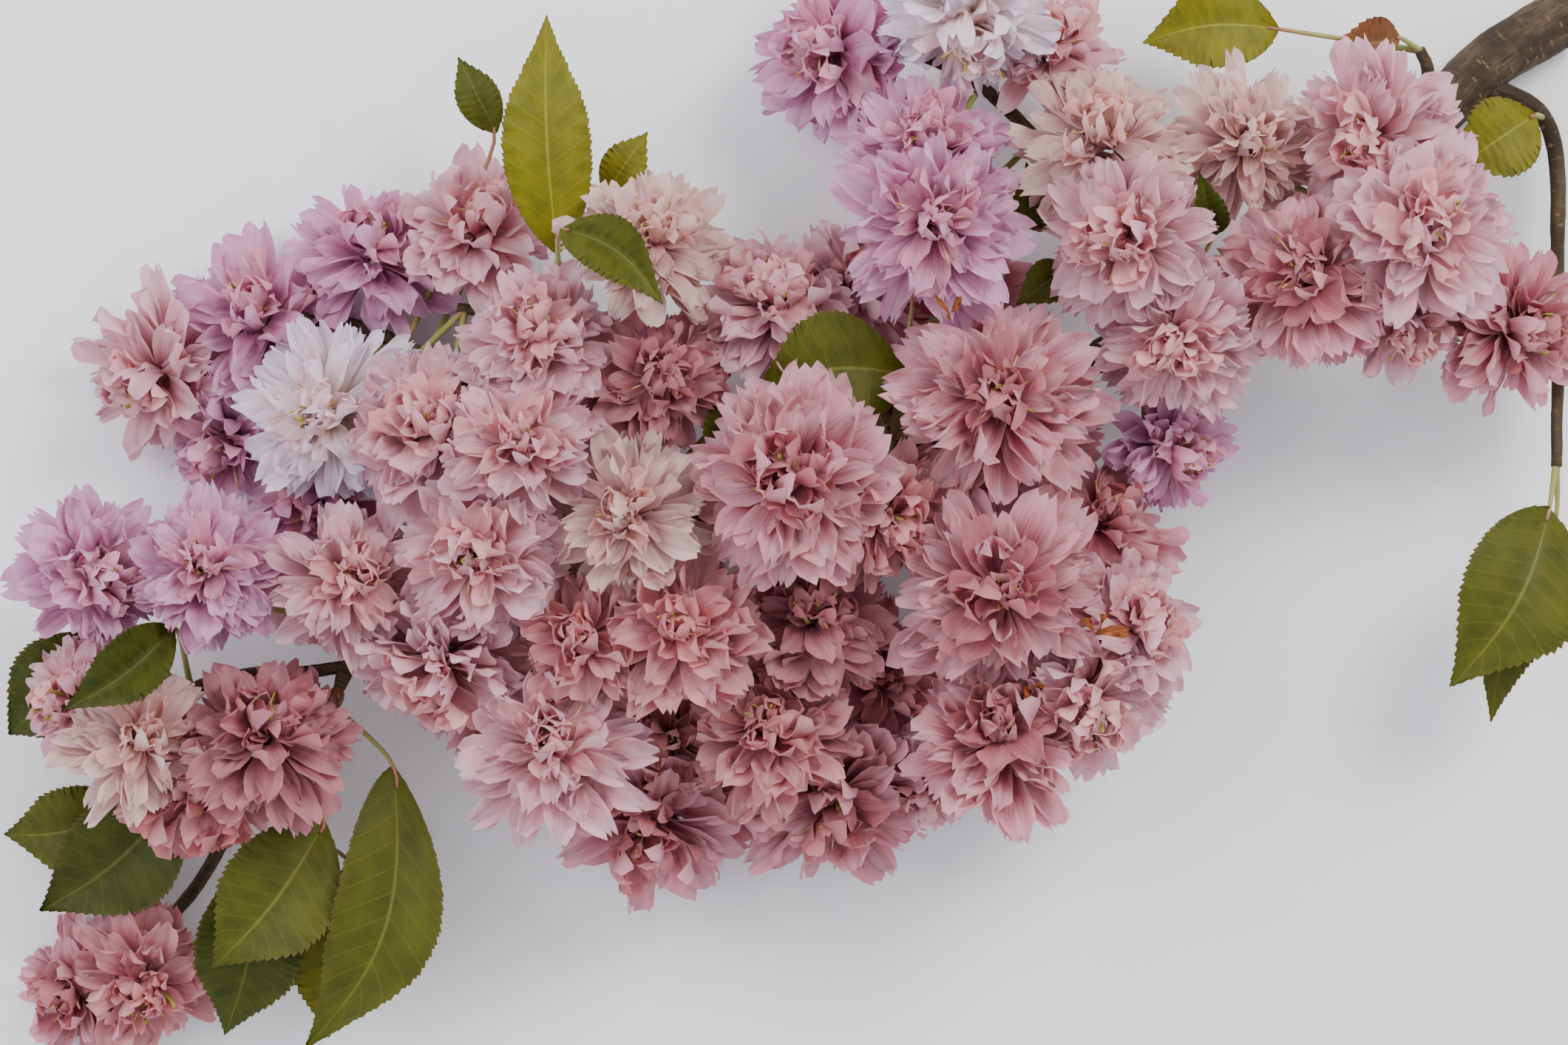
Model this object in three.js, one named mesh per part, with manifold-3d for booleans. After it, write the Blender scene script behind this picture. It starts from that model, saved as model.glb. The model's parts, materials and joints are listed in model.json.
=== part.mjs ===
// A cut branch of a double-flowered cherry in full bloom, lying down with its flowering face up.
// Millimetres: +X runs along the branch towards its cut end, +Y across it, and +Z up.
// The origin is under the middle of the branch's box, at the height of its lowest point.
import * as THREE from "three";
import { mergeVertices } from "three/addons/utils/BufferGeometryUtils.js";
import Module from "manifold-3d";

const wasm = await Module();
wasm.setup();

// Driving sizes
const GAP = 0.3; // what touching pieces keep between them
const LIMB = { buttRadius: 6.5, tipRadius: 1.3, taper: 1.6, sides: 8 };
const LIMB_SPANS = { limb_butt: [0, 0.3], limb_middle: [0.3, 0.66], limb_tip: [0.66, 1] };
const LIMB_STEPS = { limb_butt: 5, limb_middle: 6, limb_tip: 6 };
const TWIG = { rootRadius: 2.0, tipRadius: 1.2, sides: 5, places: 24, lastPlace: 0.98 };
const STALK = { radius: 0.75, cupRadius: 2.3, cupShare: 0.82, sides: 4, steps: 3 };
const STALK_SUNK = 1.5; // how far a stalk goes into a bloom that is fused to it
const PETIOLE = { radius: 0.8, sides: 4, steps: 2 };
const LEAF = { thickness: 0.8, steps: 5 };
const BLOOM = { petals: 6, fusedPetals: 5, backDepth: 0.5, crown: 0.5 };
const BLOOM_GROWTH = 1.05; // a bloom's size as a cutter, which keeps leaves clear of it

const BARK = { color: 0x5d5148, roughness: 0.85, metalness: 0 };
const GREEN = { color: 0x6f8a2c, roughness: 0.6, metalness: 0 };
const PALE_PETAL = new THREE.Color(0xf2e3e4);
const DEEP_PETAL = new THREE.Color(0xe08aa8);

// The limb's centre line, from the cut end down to its tip
const LIMB_LINE = new THREE.CatmullRomCurve3(
  [
    [171, 111, 7],
    [152, 99, 11],
    [139, 86, 16],
    [98, 51, 27],
    [64, 34, 32],
    [19, 13, 34],
    [-40, -8, 34],
    [-91, -30, 32],
    [-116, -33, 30],
  ].map((p) => new THREE.Vector3(...p)),
  false,
  "centripetal",
);

// Each spray leaves the limb at a share of its length, and its twig passes through the points given.
// A bloom is [x, y, z, width, tilt off the vertical, clock direction of the tilt, blush 0 to 1].
// A leaf is [base, tip, width, arch along its length, sweep to the side, fold at the midrib].
const SPRAYS = {
  tip: {
    at: 0.985,
    twig: [[-122, -34, 31], [-128, -36, 32]],
    blooms: [
      [-108, -43, 52, 35, 35, 80, 0.85],
      [-135, -45, 50, 30, 25, 60, 0.1],
      [-152, -38, 38, 27, 45, 180, 0.6],
      [-122, -60, 38, 36, 60, 275, 0.65],
    ],
    leaves: [
      [[-128, -22, 50], [-150, -39, 57], 13, 5, 2, 40],
      [[-142, -25, 28], [-168, -46, 15], 22, 4, 0, 15],
    ],
  },
  left: {
    at: 0.9,
    twig: [[-92, -24, 35], [-99, -20, 36]],
    blooms: [
      [-144, -11, 44, 30, 25, 0, 0.85],
      [-121, -9, 52, 30, 15, 80, 0.6],
      [-91, -12, 50, 31, 20, 20, 0.55],
    ],
    fused: [[-101, -17, 25, 28, 70, 260, 0.4]],
  },
  hanging: {
    at: 0.955,
    twig: [[-108, -42, 27], [-116, -58, 20], [-127, -78, 13], [-142, -96, 13]],
    fused: [
      [-156, -103, 8.2, 30, 35, 200, 0.6],
      [-138, -101, 17, 29, 30, 280, 0.6],
    ],
    leaves: [
      [[-98, -64, 33], [-122, -95, 33], 24, 4, 2, 15],
      [[-83, -52, 36], [-103, -113, 26], 22, 6, 9, 15],
      [[-93, -74, 22], [-99, -112, 14], 21, 3, 0, 12],
      [[-113, -74, 24], [-121, -111, 18], 22, 4, 2, 12],
      [[-130, -57, 20], [-161, -84, 18], 24, 3, 3, 12],
      [[-142, -62, 14], [-170, -68, 10], 18, 3, 2, 12],
    ],
  },
  upper_left: {
    at: 0.63,
    twig: [[-2, 18, 33], [-25, 25, 32], [-46, 42, 30], [-70, 46, 26]],
    blooms: [
      [-98, 23, 40, 37, 20, 180, 0],
      [-75, 20, 50, 33, 20, 100, 0.4],
      [-52, 40, 54, 31, 30, 100, 0.3],
      [-26, 31, 50, 31, 15, 60, 0.7],
      [-27, 60, 50, 33, 35, 60, 0.15],
    ],
    leaves: [
      [[-48, 57, 40], [-50, 107, 46], 18, 3, 1, 12],
      [[-46, 61, 60], [-25, 45, 67], 12, 2, 3, 35],
      [[-38, 70, 34], [-29, 83, 36], 9, 2, 0, 12],
    ],
  },
  left_back: {
    at: 0.7,
    twig: [[-40, 4, 24], [-68, 30, 21], [-100, 44, 20], [-128, 36, 20]],
    fused: [
      [-113, 45, 22, 36, 30, 100, 0.6],
      [-137, 31, 20, 33, 40, 200, 0.55],
      [-89, 60, 22, 33, 40, 90, 0.75],
      [-66, 64, 26, 31, 35, 80, 0.4],
      [-121, 17, 18, 31, 45, 230, 0.6],
      [-101, 4, 22, 29, 30, 250, 0.6],
    ],
    leaves: [[[-62, 84, 24], [-70, 100, 26], 9, 2, 0, 20]],
  },
  centre: {
    at: 0.77,
    twig: [[-44, -11, 38], [-45, -12, 40]],
    blooms: [
      [-55, 17, 62, 33, 15, 90, 0.35],
      [-33, 2, 60, 33, 15, 140, 0.1],
      [-64, -7, 58, 34, 15, 180, 0.4],
      [-73, -33, 46, 36, 55, 250, 0.45],
      [-48, -46, 56, 35, 20, 100, 0.55],
      [-42, -24, 54, 32, 15, 120, 0.6],
      [-22, -22, 58, 34, 15, 130, 0.45],
    ],
    leaves: [[[-9, 26, 42], [-17, 11, 52], 9, 2, 0, 25]],
  },
  middle: {
    at: 0.55,
    twig: [[22, 17, 38], [23, 18, 41]],
    blooms: [
      [2, 10, 66, 40, 15, 110, 0.6],
      [22, 0, 56, 30, 35, 320, 0.5],
      [45, 26, 60, 39, 10, 60, 0.6],
      [-2, 48, 42, 32, 40, 90, 0.3],
    ],
    fused: [[16, 53, 28, 28, 45, 60, 0.35]],
    leaves: [
      [[26, 31, 45], [-8, 25, 49], 23, 4, -4, 15],
      [[27, 51, 44], [18, 56, 44], 6, 1, 0, 20],
    ],
  },
  lower: {
    at: 0.605,
    twig: [[7, -10, 31], [3, -34, 28], [-6, -56, 25]],
    blooms: [
      [6, -19, 46, 33, 30, 90, 0.7],
      [-3, -43, 44, 34, 25, 100, 0.65],
    ],
    fused: [
      [22, -35, 29, 29, 25, 0, 0.9],
      [-29, -66, 28, 37, 45, 270, 0.55],
      [11, -61, 30, 36, 35, 280, 0.55],
      [30, -58, 24, 27, 50, 300, 0.4],
      [-26, -47, 30, 31, 30, 200, 0.65],
    ],
  },
  top: {
    at: 0.37,
    twig: [[66, 66, 28], [44, 92, 29], [26, 102, 28]],
    blooms: [
      [30, 80, 50, 31, 30, 90, 0.65],
      [31, 63, 62, 37, 10, 90, 0.65],
      [68, 82, 48, 35, 35, 90, 0.2],
      [39, 104, 44, 38, 50, 270, 0.2],
    ],
    fused: [
      [58, 103, 30, 28, 45, 60, 0.3],
      [9, 101, 26, 34, 40, 180, 0.7],
    ],
    leaves: [[[54, 62, 38], [51, 76, 45], 9, 2, 0, 20]],
  },
  right_centre: {
    at: 0.4,
    twig: [[81, 37, 34], [79, 42, 41]],
    blooms: [
      [70, 59, 60, 35, 20, 200, 0.55],
      [81, 37, 54, 33, 30, 240, 0.45],
    ],
    fused: [[84, 15, 34, 28, 45, 330, 0.75]],
    leaves: [
      [[90, 60, 50], [86, 73, 60], 7, 2, 0, 35],
      [[60, 54, 42], [49, 46, 45], 9, 2, 0, 20],
    ],
  },
  right: {
    at: 0.24,
    twig: [[114, 66, 31], [115, 68, 36]],
    blooms: [
      [98, 80, 44, 31, 15, 0, 0.15],
      [122, 80, 50, 35, 30, 200, 0.6],
      [133, 62, 62, 37, 10, 45, 0.4],
      [109, 52, 56, 35, 15, 150, 0.7],
      [131, 41, 46, 30, 50, 290, 0.5],
    ],
  },
  lower_right: {
    at: 0.46,
    twig: [[56, 12, 34], [57, -14, 34], [59, -28, 35]],
    blooms: [
      [45, -14, 64, 42, 5, 90, 0.65],
      [45, -43, 56, 36, 35, 100, 0.6],
      [75, -21, 52, 30, 40, 20, 0.4],
      [64, -38, 54, 33, 35, 300, 0.4],
    ],
    fused: [[68, 1, 38, 31, 40, 60, 0.6]],
  },
  right_edge: {
    at: 0.08,
    twig: [[165, 88, 14], [167, 52, 20], [166, 12, 25]],
    blooms: [[157, 42, 38, 34, 35, 0, 0.75]],
    leaves: [
      [[164, 3, 28], [142, -35, 34], 26, 5, 3, 15],
      [[166, 1, 24], [152, -43, 24], 15, 4, -3, 30],
      [[162, 88, 20], [144, 76, 23], 17, 3, 0, 12],
    ],
  },
  butt: {
    at: 0.13,
    twig: [[139, 98, 20], [137, 102, 22]],
    leaves: [
      [[106, 106, 26], [77, 103, 26], 18, 3, -2, 12],
      [[132, 104, 27], [118, 103, 31], 10, 2, 1, 20],
    ],
  },
  under_middle: {
    at: 0.5,
    twig: [[36, 22, 24], [34, 22, 22]],
    fused: [
      [20, 24, 11.7, 32, 165, 120, 0.5],
      [48, 16, 12.3, 32, 160, 300, 0.5],
      [38, 46, 11.5, 31, 160, 60, 0.5],
    ],
  },
  under_left: {
    at: 0.82,
    twig: [[-62, -20, 25], [-64, -20, 22]],
    fused: [
      [-52, -8, 11.5, 31, 160, 60, 0.5],
      [-78, -24, 11.7, 32, 165, 200, 0.5],
      [-54, -38, 11.5, 31, 160, 290, 0.5],
    ],
  },
};

// A rosette's outline from its back to its crown, in shares of its radius. Each ring alternates
// petal tips and the notches between them, and turn shifts it by half a petal.
const BLOOM_RINGS = [
  { tip: 0.16, notch: 0.16, tipHeight: -0.5, notchHeight: -0.5, turn: 0 },
  { tip: 0.66, notch: 0.5, tipHeight: -0.24, notchHeight: -0.26, turn: 0 },
  { tip: 1.02, notch: 0.84, tipHeight: 0.04, notchHeight: 0.02, turn: 0 },
  { tip: 0.76, notch: 0.82, tipHeight: 0.2, notchHeight: 0.16, turn: 1 },
  { tip: 0.88, notch: 0.68, tipHeight: 0.4, notchHeight: 0.34, turn: 1 },
  { tip: 0.48, notch: 0.34, tipHeight: 0.6, notchHeight: 0.5, turn: 0 },
];
const FUSED_RINGS = BLOOM_RINGS.filter((ring, i) => i !== 1);

const DEGREE = Math.PI / 180;
const UP = new THREE.Vector3(0, 0, 1);
const vector = (p) => new THREE.Vector3(...p);

// A seeded source of even random numbers from 0 to 1
function seeded(seed) {
  let state = seed >>> 0;
  return () => {
    state = (state + 0x6d2b79f5) >>> 0;
    let t = Math.imul(state ^ (state >>> 15), 1 | state);
    t = (t + Math.imul(t ^ (t >>> 7), 61 | t)) ^ t;
    return ((t ^ (t >>> 14)) >>> 0) / 4294967296;
  };
}

// Solids: a closed three.js geometry becomes one that can be joined and cut
function solidOf(geometry) {
  const bare = geometry.clone();
  bare.deleteAttribute("normal");
  bare.deleteAttribute("uv");
  const merged = mergeVertices(bare, 1e-4);
  return new wasm.Manifold(
    new wasm.Mesh({
      numProp: 3,
      vertProperties: merged.attributes.position.array,
      triVerts: new Uint32Array(merged.index.array),
    }),
  );
}

function geometryOf(solid) {
  const mesh = solid.getMesh();
  const stride = mesh.numProp;
  const points = new Float32Array(mesh.numVert * 3);
  for (let i = 0; i < mesh.numVert; i++) {
    points.set(mesh.vertProperties.subarray(i * stride, i * stride + 3), i * 3);
  }
  const geometry = new THREE.BufferGeometry();
  geometry.setAttribute("position", new THREE.BufferAttribute(points, 3));
  geometry.setIndex(new THREE.BufferAttribute(new Uint32Array(mesh.triVerts), 1));
  geometry.computeVertexNormals();
  return geometry;
}

const join = (solids) => solids.reduce((whole, piece) => whole.add(piece));

// A cut may leave loose scraps, and only the largest body is kept
function largest(solid) {
  const bodies = solid.decompose();
  return bodies.reduce((best, body) => (body.volume() > best.volume() ? body : best));
}

const overlaps = (a, b) => a.intersect(b).volume() > 1e-4;

// Rings of points, each joined to the next and closed by a point at either end
function closedRings(start, rings, end) {
  const sides = rings[0].length;
  const points = [start, ...rings.flat(), end];
  const last = points.length - 1;
  const faces = [];
  for (let s = 0; s < sides; s++) {
    const next = (s + 1) % sides;
    faces.push(0, 1 + next, 1 + s);
    for (let r = 0; r < rings.length - 1; r++) {
      const a = 1 + r * sides;
      const b = a + sides;
      faces.push(a + s, a + next, b + next, a + s, b + next, b + s);
    }
    const top = 1 + (rings.length - 1) * sides;
    faces.push(last, top + s, top + next);
  }
  const geometry = new THREE.BufferGeometry();
  geometry.setAttribute(
    "position",
    new THREE.Float32BufferAttribute(points.flatMap((p) => p.toArray()), 3),
  );
  geometry.setIndex(faces);
  return geometry;
}

// A tapering round stem along a curve, from share a to share b of its length
function stem(curve, radiusAt, { sides, steps, a = 0, b = 1, grow = 0 }) {
  const across = new THREE.Vector3();
  const rings = [];
  const ends = [];
  for (let i = 0; i <= steps; i++) {
    const share = a + ((b - a) * i) / steps;
    const centre = curve.getPointAt(share);
    const ahead = curve.getTangentAt(share);
    if (i === 0) {
      across.crossVectors(ahead, Math.abs(ahead.z) < 0.8 ? UP : new THREE.Vector3(1, 0, 0));
    } else {
      across.addScaledVector(ahead, -across.dot(ahead));
    }
    across.normalize();
    const over = new THREE.Vector3().crossVectors(ahead, across);
    const radius = radiusAt(share) + grow;
    const lengthen = i === 0 ? -grow : i === steps ? grow : 0;
    centre.addScaledVector(ahead, lengthen);
    if (i === 0 || i === steps) ends.push(centre.clone());
    rings.push(
      Array.from({ length: sides }, (_, s) => {
        const turn = (2 * Math.PI * s) / sides;
        return centre
          .clone()
          .addScaledVector(across, radius * Math.cos(turn))
          .addScaledVector(over, radius * Math.sin(turn));
      }),
    );
  }
  return solidOf(closedRings(ends[0], rings, ends[1]));
}

const limbRadius = (share) =>
  LIMB.tipRadius + (LIMB.buttRadius - LIMB.tipRadius) * (1 - share) ** LIMB.taper;

function limbSpan(name, grow) {
  const [from, to] = LIMB_SPANS[name];
  const clear = GAP / 2 / LIMB_LINE.getLength();
  return stem(LIMB_LINE, limbRadius, {
    sides: LIMB.sides,
    steps: LIMB_STEPS[name],
    a: from === 0 ? 0 : from + clear,
    b: to === 1 ? 1 : to - clear,
    grow,
  });
}

// A bloom's place, facing and width
function bloomFrame([x, y, z, width, tilt, clock]) {
  const lean = tilt * DEGREE;
  const way = clock * DEGREE;
  return {
    centre: new THREE.Vector3(x, y, z),
    radius: width / 2,
    facing: new THREE.Vector3(
      Math.sin(lean) * Math.cos(way),
      Math.sin(lean) * Math.sin(way),
      Math.cos(lean),
    ),
  };
}

// The planes at which a bloom meets the neighbours that press on it, each a share of the way
// that follows from both widths
function pressingPlanes(bloom, others) {
  const mine = bloomFrame(bloom);
  return others
    .map((other) => bloomFrame(other))
    .map((theirs) => ({ theirs, normal: theirs.centre.clone().sub(mine.centre) }))
    .filter(({ theirs, normal }) => {
      const apart = normal.length();
      return apart > 0 && apart < mine.radius + theirs.radius + GAP;
    })
    .map(({ theirs, normal }) => {
      const apart = normal.length();
      const meet = (apart ** 2 + mine.radius ** 2 - theirs.radius ** 2) / (2 * apart);
      return { normal: normal.normalize(), reach: meet - GAP / 2 };
    });
}

// A double bloom as tiers of pointed petals round a low crown, each point drawn in towards the
// middle as far as the neighbours leave room
function rosette(bloom, rings, petals, seed, others) {
  const { centre, radius, facing } = bloomFrame(bloom);
  const planes = pressingPlanes(bloom, others);
  const random = seeded(seed);
  const turned = new THREE.Quaternion().setFromUnitVectors(UP, facing);
  const roll = random() * 2 * Math.PI;
  const place = (reach, height, angle) => {
    const out = new THREE.Vector3(reach * Math.cos(angle), reach * Math.sin(angle), height)
      .multiplyScalar(radius)
      .applyQuaternion(turned);
    const shares = planes.map((plane) => {
      const ahead = out.dot(plane.normal);
      return ahead > plane.reach ? plane.reach / ahead : 1;
    });
    return out.multiplyScalar(Math.min(1, ...shares)).add(centre);
  };
  const made = rings.map((ring, r) =>
    Array.from({ length: 2 * petals }, (_, k) => {
      const isTip = (k + ring.turn) % 2 === 0;
      const uneven = r === 0 ? 1 : 1 + (random() - 0.5) * (isTip ? 0.16 : 0.08);
      const reach = (isTip ? ring.tip : ring.notch) * uneven;
      const height = isTip ? ring.tipHeight : ring.notchHeight;
      return place(reach, height, roll + (Math.PI * k) / petals);
    }),
  );
  return solidOf(closedRings(place(0, -BLOOM.backDepth, 0), made, place(0, BLOOM.crown, 0)));
}

// The same rosette made larger about its middle, for cutting leaves clear of it
function grownBloom(solid, bloom) {
  const [x, y, z] = bloom;
  return solid.translate([-x, -y, -z]).scale(BLOOM_GROWTH).translate([x, y, z]);
}

// The directions of a leaf: ahead to its tip, to its side, and over its upper face
function leafFrame([base, tip]) {
  const from = vector(base);
  const along = vector(tip).sub(from);
  const ahead = along.clone().normalize();
  const side = new THREE.Vector3().crossVectors(UP, ahead).normalize();
  const over = new THREE.Vector3().crossVectors(ahead, side);
  return { from, length: along.length(), ahead, side, over };
}

// A point on the midrib, which arches up and sweeps to the side between its ends
function midrib(leaf, share) {
  const { from, length, ahead, side, over } = leafFrame(leaf);
  const [, , , arch, sweep] = leaf;
  const bow = Math.sin(Math.PI * share);
  return from
    .clone()
    .addScaledVector(ahead, share * length)
    .addScaledVector(over, arch * bow)
    .addScaledVector(side, sweep * bow);
}

// A leaf blade: a pointed oval with a fold at its midrib
function leafBlade(leaf, grow) {
  const { ahead, side, over } = leafFrame(leaf);
  const [, , width, , , fold] = leaf;
  const rise = Math.tan(fold * DEGREE);
  const half = LEAF.thickness / 2 + grow;
  const rings = [];
  for (let i = 1; i < LEAF.steps; i++) {
    const share = i / LEAF.steps;
    const reach = (width / 2) * Math.sin(Math.PI * share ** 0.85) ** 0.8 + grow;
    const middle = midrib(leaf, share);
    const at = (across, up) =>
      middle.clone().addScaledVector(side, across).addScaledVector(over, up);
    const edge = reach * rise;
    rings.push([
      at(reach, edge - half),
      at(reach, edge + half),
      at(0, half),
      at(-reach, edge + half),
      at(-reach, edge - half),
      at(0, -half),
    ]);
  }
  const start = midrib(leaf, 0).addScaledVector(ahead, -grow);
  const end = midrib(leaf, 1).addScaledVector(ahead, grow);
  return solidOf(closedRings(start, rings, end));
}

// A spray's twig, and the share of its length at which it comes out of the limb's bark
function twigOf(spray) {
  const start = LIMB_LINE.getPointAt(spray.at);
  const points = [start, ...spray.twig.map(vector)];
  const line = new THREE.CatmullRomCurve3(points, false, "centripetal");
  const out = (limbRadius(spray.at) + 2 * GAP + STALK.radius) / line.getLength();
  return { line, out };
}

const twigRadius = (share) => TWIG.rootRadius + (TWIG.tipRadius - TWIG.rootRadius) * share;

// The place on a twig nearest to a point, between the limb's bark and the twig's last stretch
function nearestOn({ line, out }, point) {
  const places = Array.from({ length: TWIG.places }, (_, i) =>
    line.getPointAt(out + ((TWIG.lastPlace - out) * i) / (TWIG.places - 1)),
  );
  return places.reduce((best, place) =>
    place.distanceTo(point) < best.distanceTo(point) ? place : best,
  );
}

// A flower stalk from the twig to the back of its bloom, widening into the cup under it
function stalk(twig, bloom, sunk, grow) {
  const { centre, radius, facing } = bloomFrame(bloom);
  const end = centre.clone().addScaledVector(facing, -BLOOM.backDepth * radius - GAP + sunk);
  const start = nearestOn(twig, end);
  const reach = start.distanceTo(end);
  const line = new THREE.CubicBezierCurve3(
    start,
    start.clone().lerp(end, 0.3),
    end.clone().addScaledVector(facing, -0.35 * reach),
    end,
  );
  const radiusAt = (share) =>
    share < STALK.cupShare
      ? STALK.radius
      : STALK.radius +
        ((STALK.cupRadius - STALK.radius) * (share - STALK.cupShare)) / (1 - STALK.cupShare);
  return stem(line, radiusAt, { sides: STALK.sides, steps: STALK.steps, grow });
}

// The leaf's stalk, which runs on into the root of its blade
function petiole(twig, leaf, grow) {
  const base = midrib(leaf, 0);
  const line = new THREE.CatmullRomCurve3(
    [nearestOn(twig, base), base, midrib(leaf, 0.3)],
    false,
    "centripetal",
  );
  const radiusAt = () => PETIOLE.radius;
  return stem(line, radiusAt, { sides: PETIOLE.sides, steps: PETIOLE.steps, grow });
}

// Wood, stalks and petioles of a spray in one piece, cut clear of the limb
function sprayStems(spray, grow) {
  const twig = twigOf(spray);
  const wood = stem(twig.line, twigRadius, { sides: TWIG.sides, steps: spray.twig.length + 2, grow });
  const stalks = (spray.blooms ?? []).map((bloom) => stalk(twig, bloom, 0, grow));
  const fused = (spray.fused ?? []).map((bloom) => stalk(twig, bloom, GAP + STALK_SUNK, grow));
  return join([wood, ...stalks, ...fused]);
}

const limbNames = Object.keys(LIMB_SPANS);
const limbs = Object.fromEntries(limbNames.map((name) => [name, limbSpan(name, 0)]));
const limbCutter = join(limbNames.map((name) => limbSpan(name, GAP)));

const sprayNames = Object.keys(SPRAYS);
const stems = {};
const stemCutters = {};
for (const name of sprayNames) {
  let made = sprayStems(SPRAYS[name], 0).subtract(limbCutter);
  for (const before of Object.keys(stems)) made = made.subtract(stemCutters[before]);
  stems[name] = largest(made);
  stemCutters[name] = sprayStems(SPRAYS[name], GAP);
}

// Every bloom, single or fused to its spray, with its own seed
const heads = sprayNames.flatMap((spray) => [
  ...(SPRAYS[spray].blooms ?? []).map((bloom, i) => ({
    spray,
    bloom,
    name: `bloom_${spray}_${i + 1}`,
  })),
  ...(SPRAYS[spray].fused ?? []).map((bloom) => ({ spray, bloom, fused: true })),
]);
heads.forEach((head, i) => {
  const rings = head.fused ? FUSED_RINGS : BLOOM_RINGS;
  const petals = head.fused ? BLOOM.fusedPetals : BLOOM.petals;
  const others = heads.filter((other) => other !== head).map((other) => other.bloom);
  head.solid = rosette(head.bloom, rings, petals, 101 + i, others);
  head.cutter = grownBloom(head.solid, head.bloom);
});

// Leaves are cut clear of everything but their own spray, and fused to it
const leafCutters = [];
const sprays = {};
for (const name of sprayNames) {
  const spray = SPRAYS[name];
  const twig = twigOf(spray);
  let green = stems[name];
  for (const head of heads.filter((h) => h.fused && h.spray === name)) {
    green = green.add(head.solid);
  }
  for (const leaf of spray.leaves ?? []) {
    const inTheWay = [
      limbCutter,
      ...sprayNames.filter((other) => other !== name).map((other) => stemCutters[other]),
      ...heads.filter((h) => !h.fused || h.spray !== name).map((h) => h.cutter),
      ...leafCutters.filter((other) => other.spray !== name).map((other) => other.cutter),
    ];
    let blade = petiole(twig, leaf, 0).add(leafBlade(leaf, 0));
    for (const other of inTheWay) {
      if (overlaps(blade, other)) blade = blade.subtract(other);
    }
    green = green.add(blade);
    const cutter = petiole(twig, leaf, GAP).add(leafBlade(leaf, GAP));
    leafCutters.push({ spray: name, cutter });
  }
  sprays[name] = largest(green);
}

// The branch as named meshes: the limb, its sprays, and each large bloom
const branch = new THREE.Group();
function addMesh(name, solid, finish) {
  const mesh = new THREE.Mesh(geometryOf(solid), new THREE.MeshStandardMaterial(finish));
  mesh.name = name;
  branch.add(mesh);
}
for (const name of limbNames) addMesh(name, limbs[name], BARK);
for (const name of sprayNames) addMesh(`spray_${name}`, sprays[name], GREEN);
for (const head of heads.filter((h) => !h.fused)) {
  const color = PALE_PETAL.clone().lerp(DEEP_PETAL, head.bloom[6]);
  addMesh(head.name, head.solid, { color, roughness: 0.7, metalness: 0 });
}

// Set down over the origin
const box = new THREE.Box3().setFromObject(branch);
const middle = box.getCenter(new THREE.Vector3());
branch.position.set(-middle.x, -middle.y, -box.min.z);

export default branch;
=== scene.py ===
"""A cut flowering branch of a double cherry: the looks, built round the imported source."""
import json
import math

import bmesh
import bpy
import numpy as np
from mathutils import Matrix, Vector


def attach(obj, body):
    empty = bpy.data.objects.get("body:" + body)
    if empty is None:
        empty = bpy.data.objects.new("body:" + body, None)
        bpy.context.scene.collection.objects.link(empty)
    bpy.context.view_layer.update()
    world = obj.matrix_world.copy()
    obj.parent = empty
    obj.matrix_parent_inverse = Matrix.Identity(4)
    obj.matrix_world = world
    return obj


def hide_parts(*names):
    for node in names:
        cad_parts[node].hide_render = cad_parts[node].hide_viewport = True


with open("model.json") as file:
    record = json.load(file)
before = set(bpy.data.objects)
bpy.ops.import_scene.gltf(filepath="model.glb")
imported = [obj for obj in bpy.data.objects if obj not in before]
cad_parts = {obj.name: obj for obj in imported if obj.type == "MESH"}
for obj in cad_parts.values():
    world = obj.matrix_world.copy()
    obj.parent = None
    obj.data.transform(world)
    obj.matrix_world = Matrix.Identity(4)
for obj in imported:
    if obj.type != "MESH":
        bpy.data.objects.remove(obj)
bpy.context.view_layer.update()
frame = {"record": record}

# The limb: several years of cherry wood, sawn off square at its thick end. It tapers along the
# source's own line to the last spray, under grey-brown bark with ridges, wrinkles and pores.
MM = 0.001
LIMB_POINTS = [
    (171, 111, 7), (152, 99, 11), (139, 86, 16), (98, 51, 27), (64, 34, 32),
    (19, 13, 34), (-40, -8, 34), (-91, -30, 32), (-116, -33, 30),
]
LIMB_BUTT, LIMB_TIP, LIMB_TAPER = 6.5, 1.3, 1.6
YEAR_RINGS = 7500.0  # radians to a metre, which sets the wood's rings 0.84 mm apart
CAP = 0.02  # how far inside its end a stem has its full girth, which closes the end flat
CUT_END = np.array(frame["record"]["mounts"][0]["pos_m"])


def placed(points):
    """Points of the source's layout, in millimetres, as metres in the object's frame."""
    return CUT_END + (np.asarray(points, float) - LIMB_POINTS[0]) * MM


def smooth_line(points, per_span=30):
    """The centripetal curve that the source draws through points."""
    points = np.asarray(points, float)
    ends = [2 * points[0] - points[1], *points, 2 * points[-1] - points[-2]]
    share = np.linspace(0, 1, per_span, endpoint=False)[:, None]
    spans = []
    for a, b, c, d in zip(ends, ends[1:], ends[2:], ends[3:]):
        before, within, after = (np.linalg.norm(q - p) ** 0.5 for p, q in ((a, b), (b, c), (c, d)))
        leave = within * ((b - a) / before - (c - a) / (before + within) + (c - b) / within)
        enter = within * ((c - b) / within - (d - b) / (within + after) + (d - c) / after)
        spans.append(
            b + leave * share + (3 * (c - b) - 2 * leave - enter) * share**2
            + (2 * (b - c) + leave + enter) * share**3
        )
    return np.vstack([*spans, points[-1:]])


def line_length(line):
    return np.linalg.norm(np.diff(line, axis=0), axis=1).sum()


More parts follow.
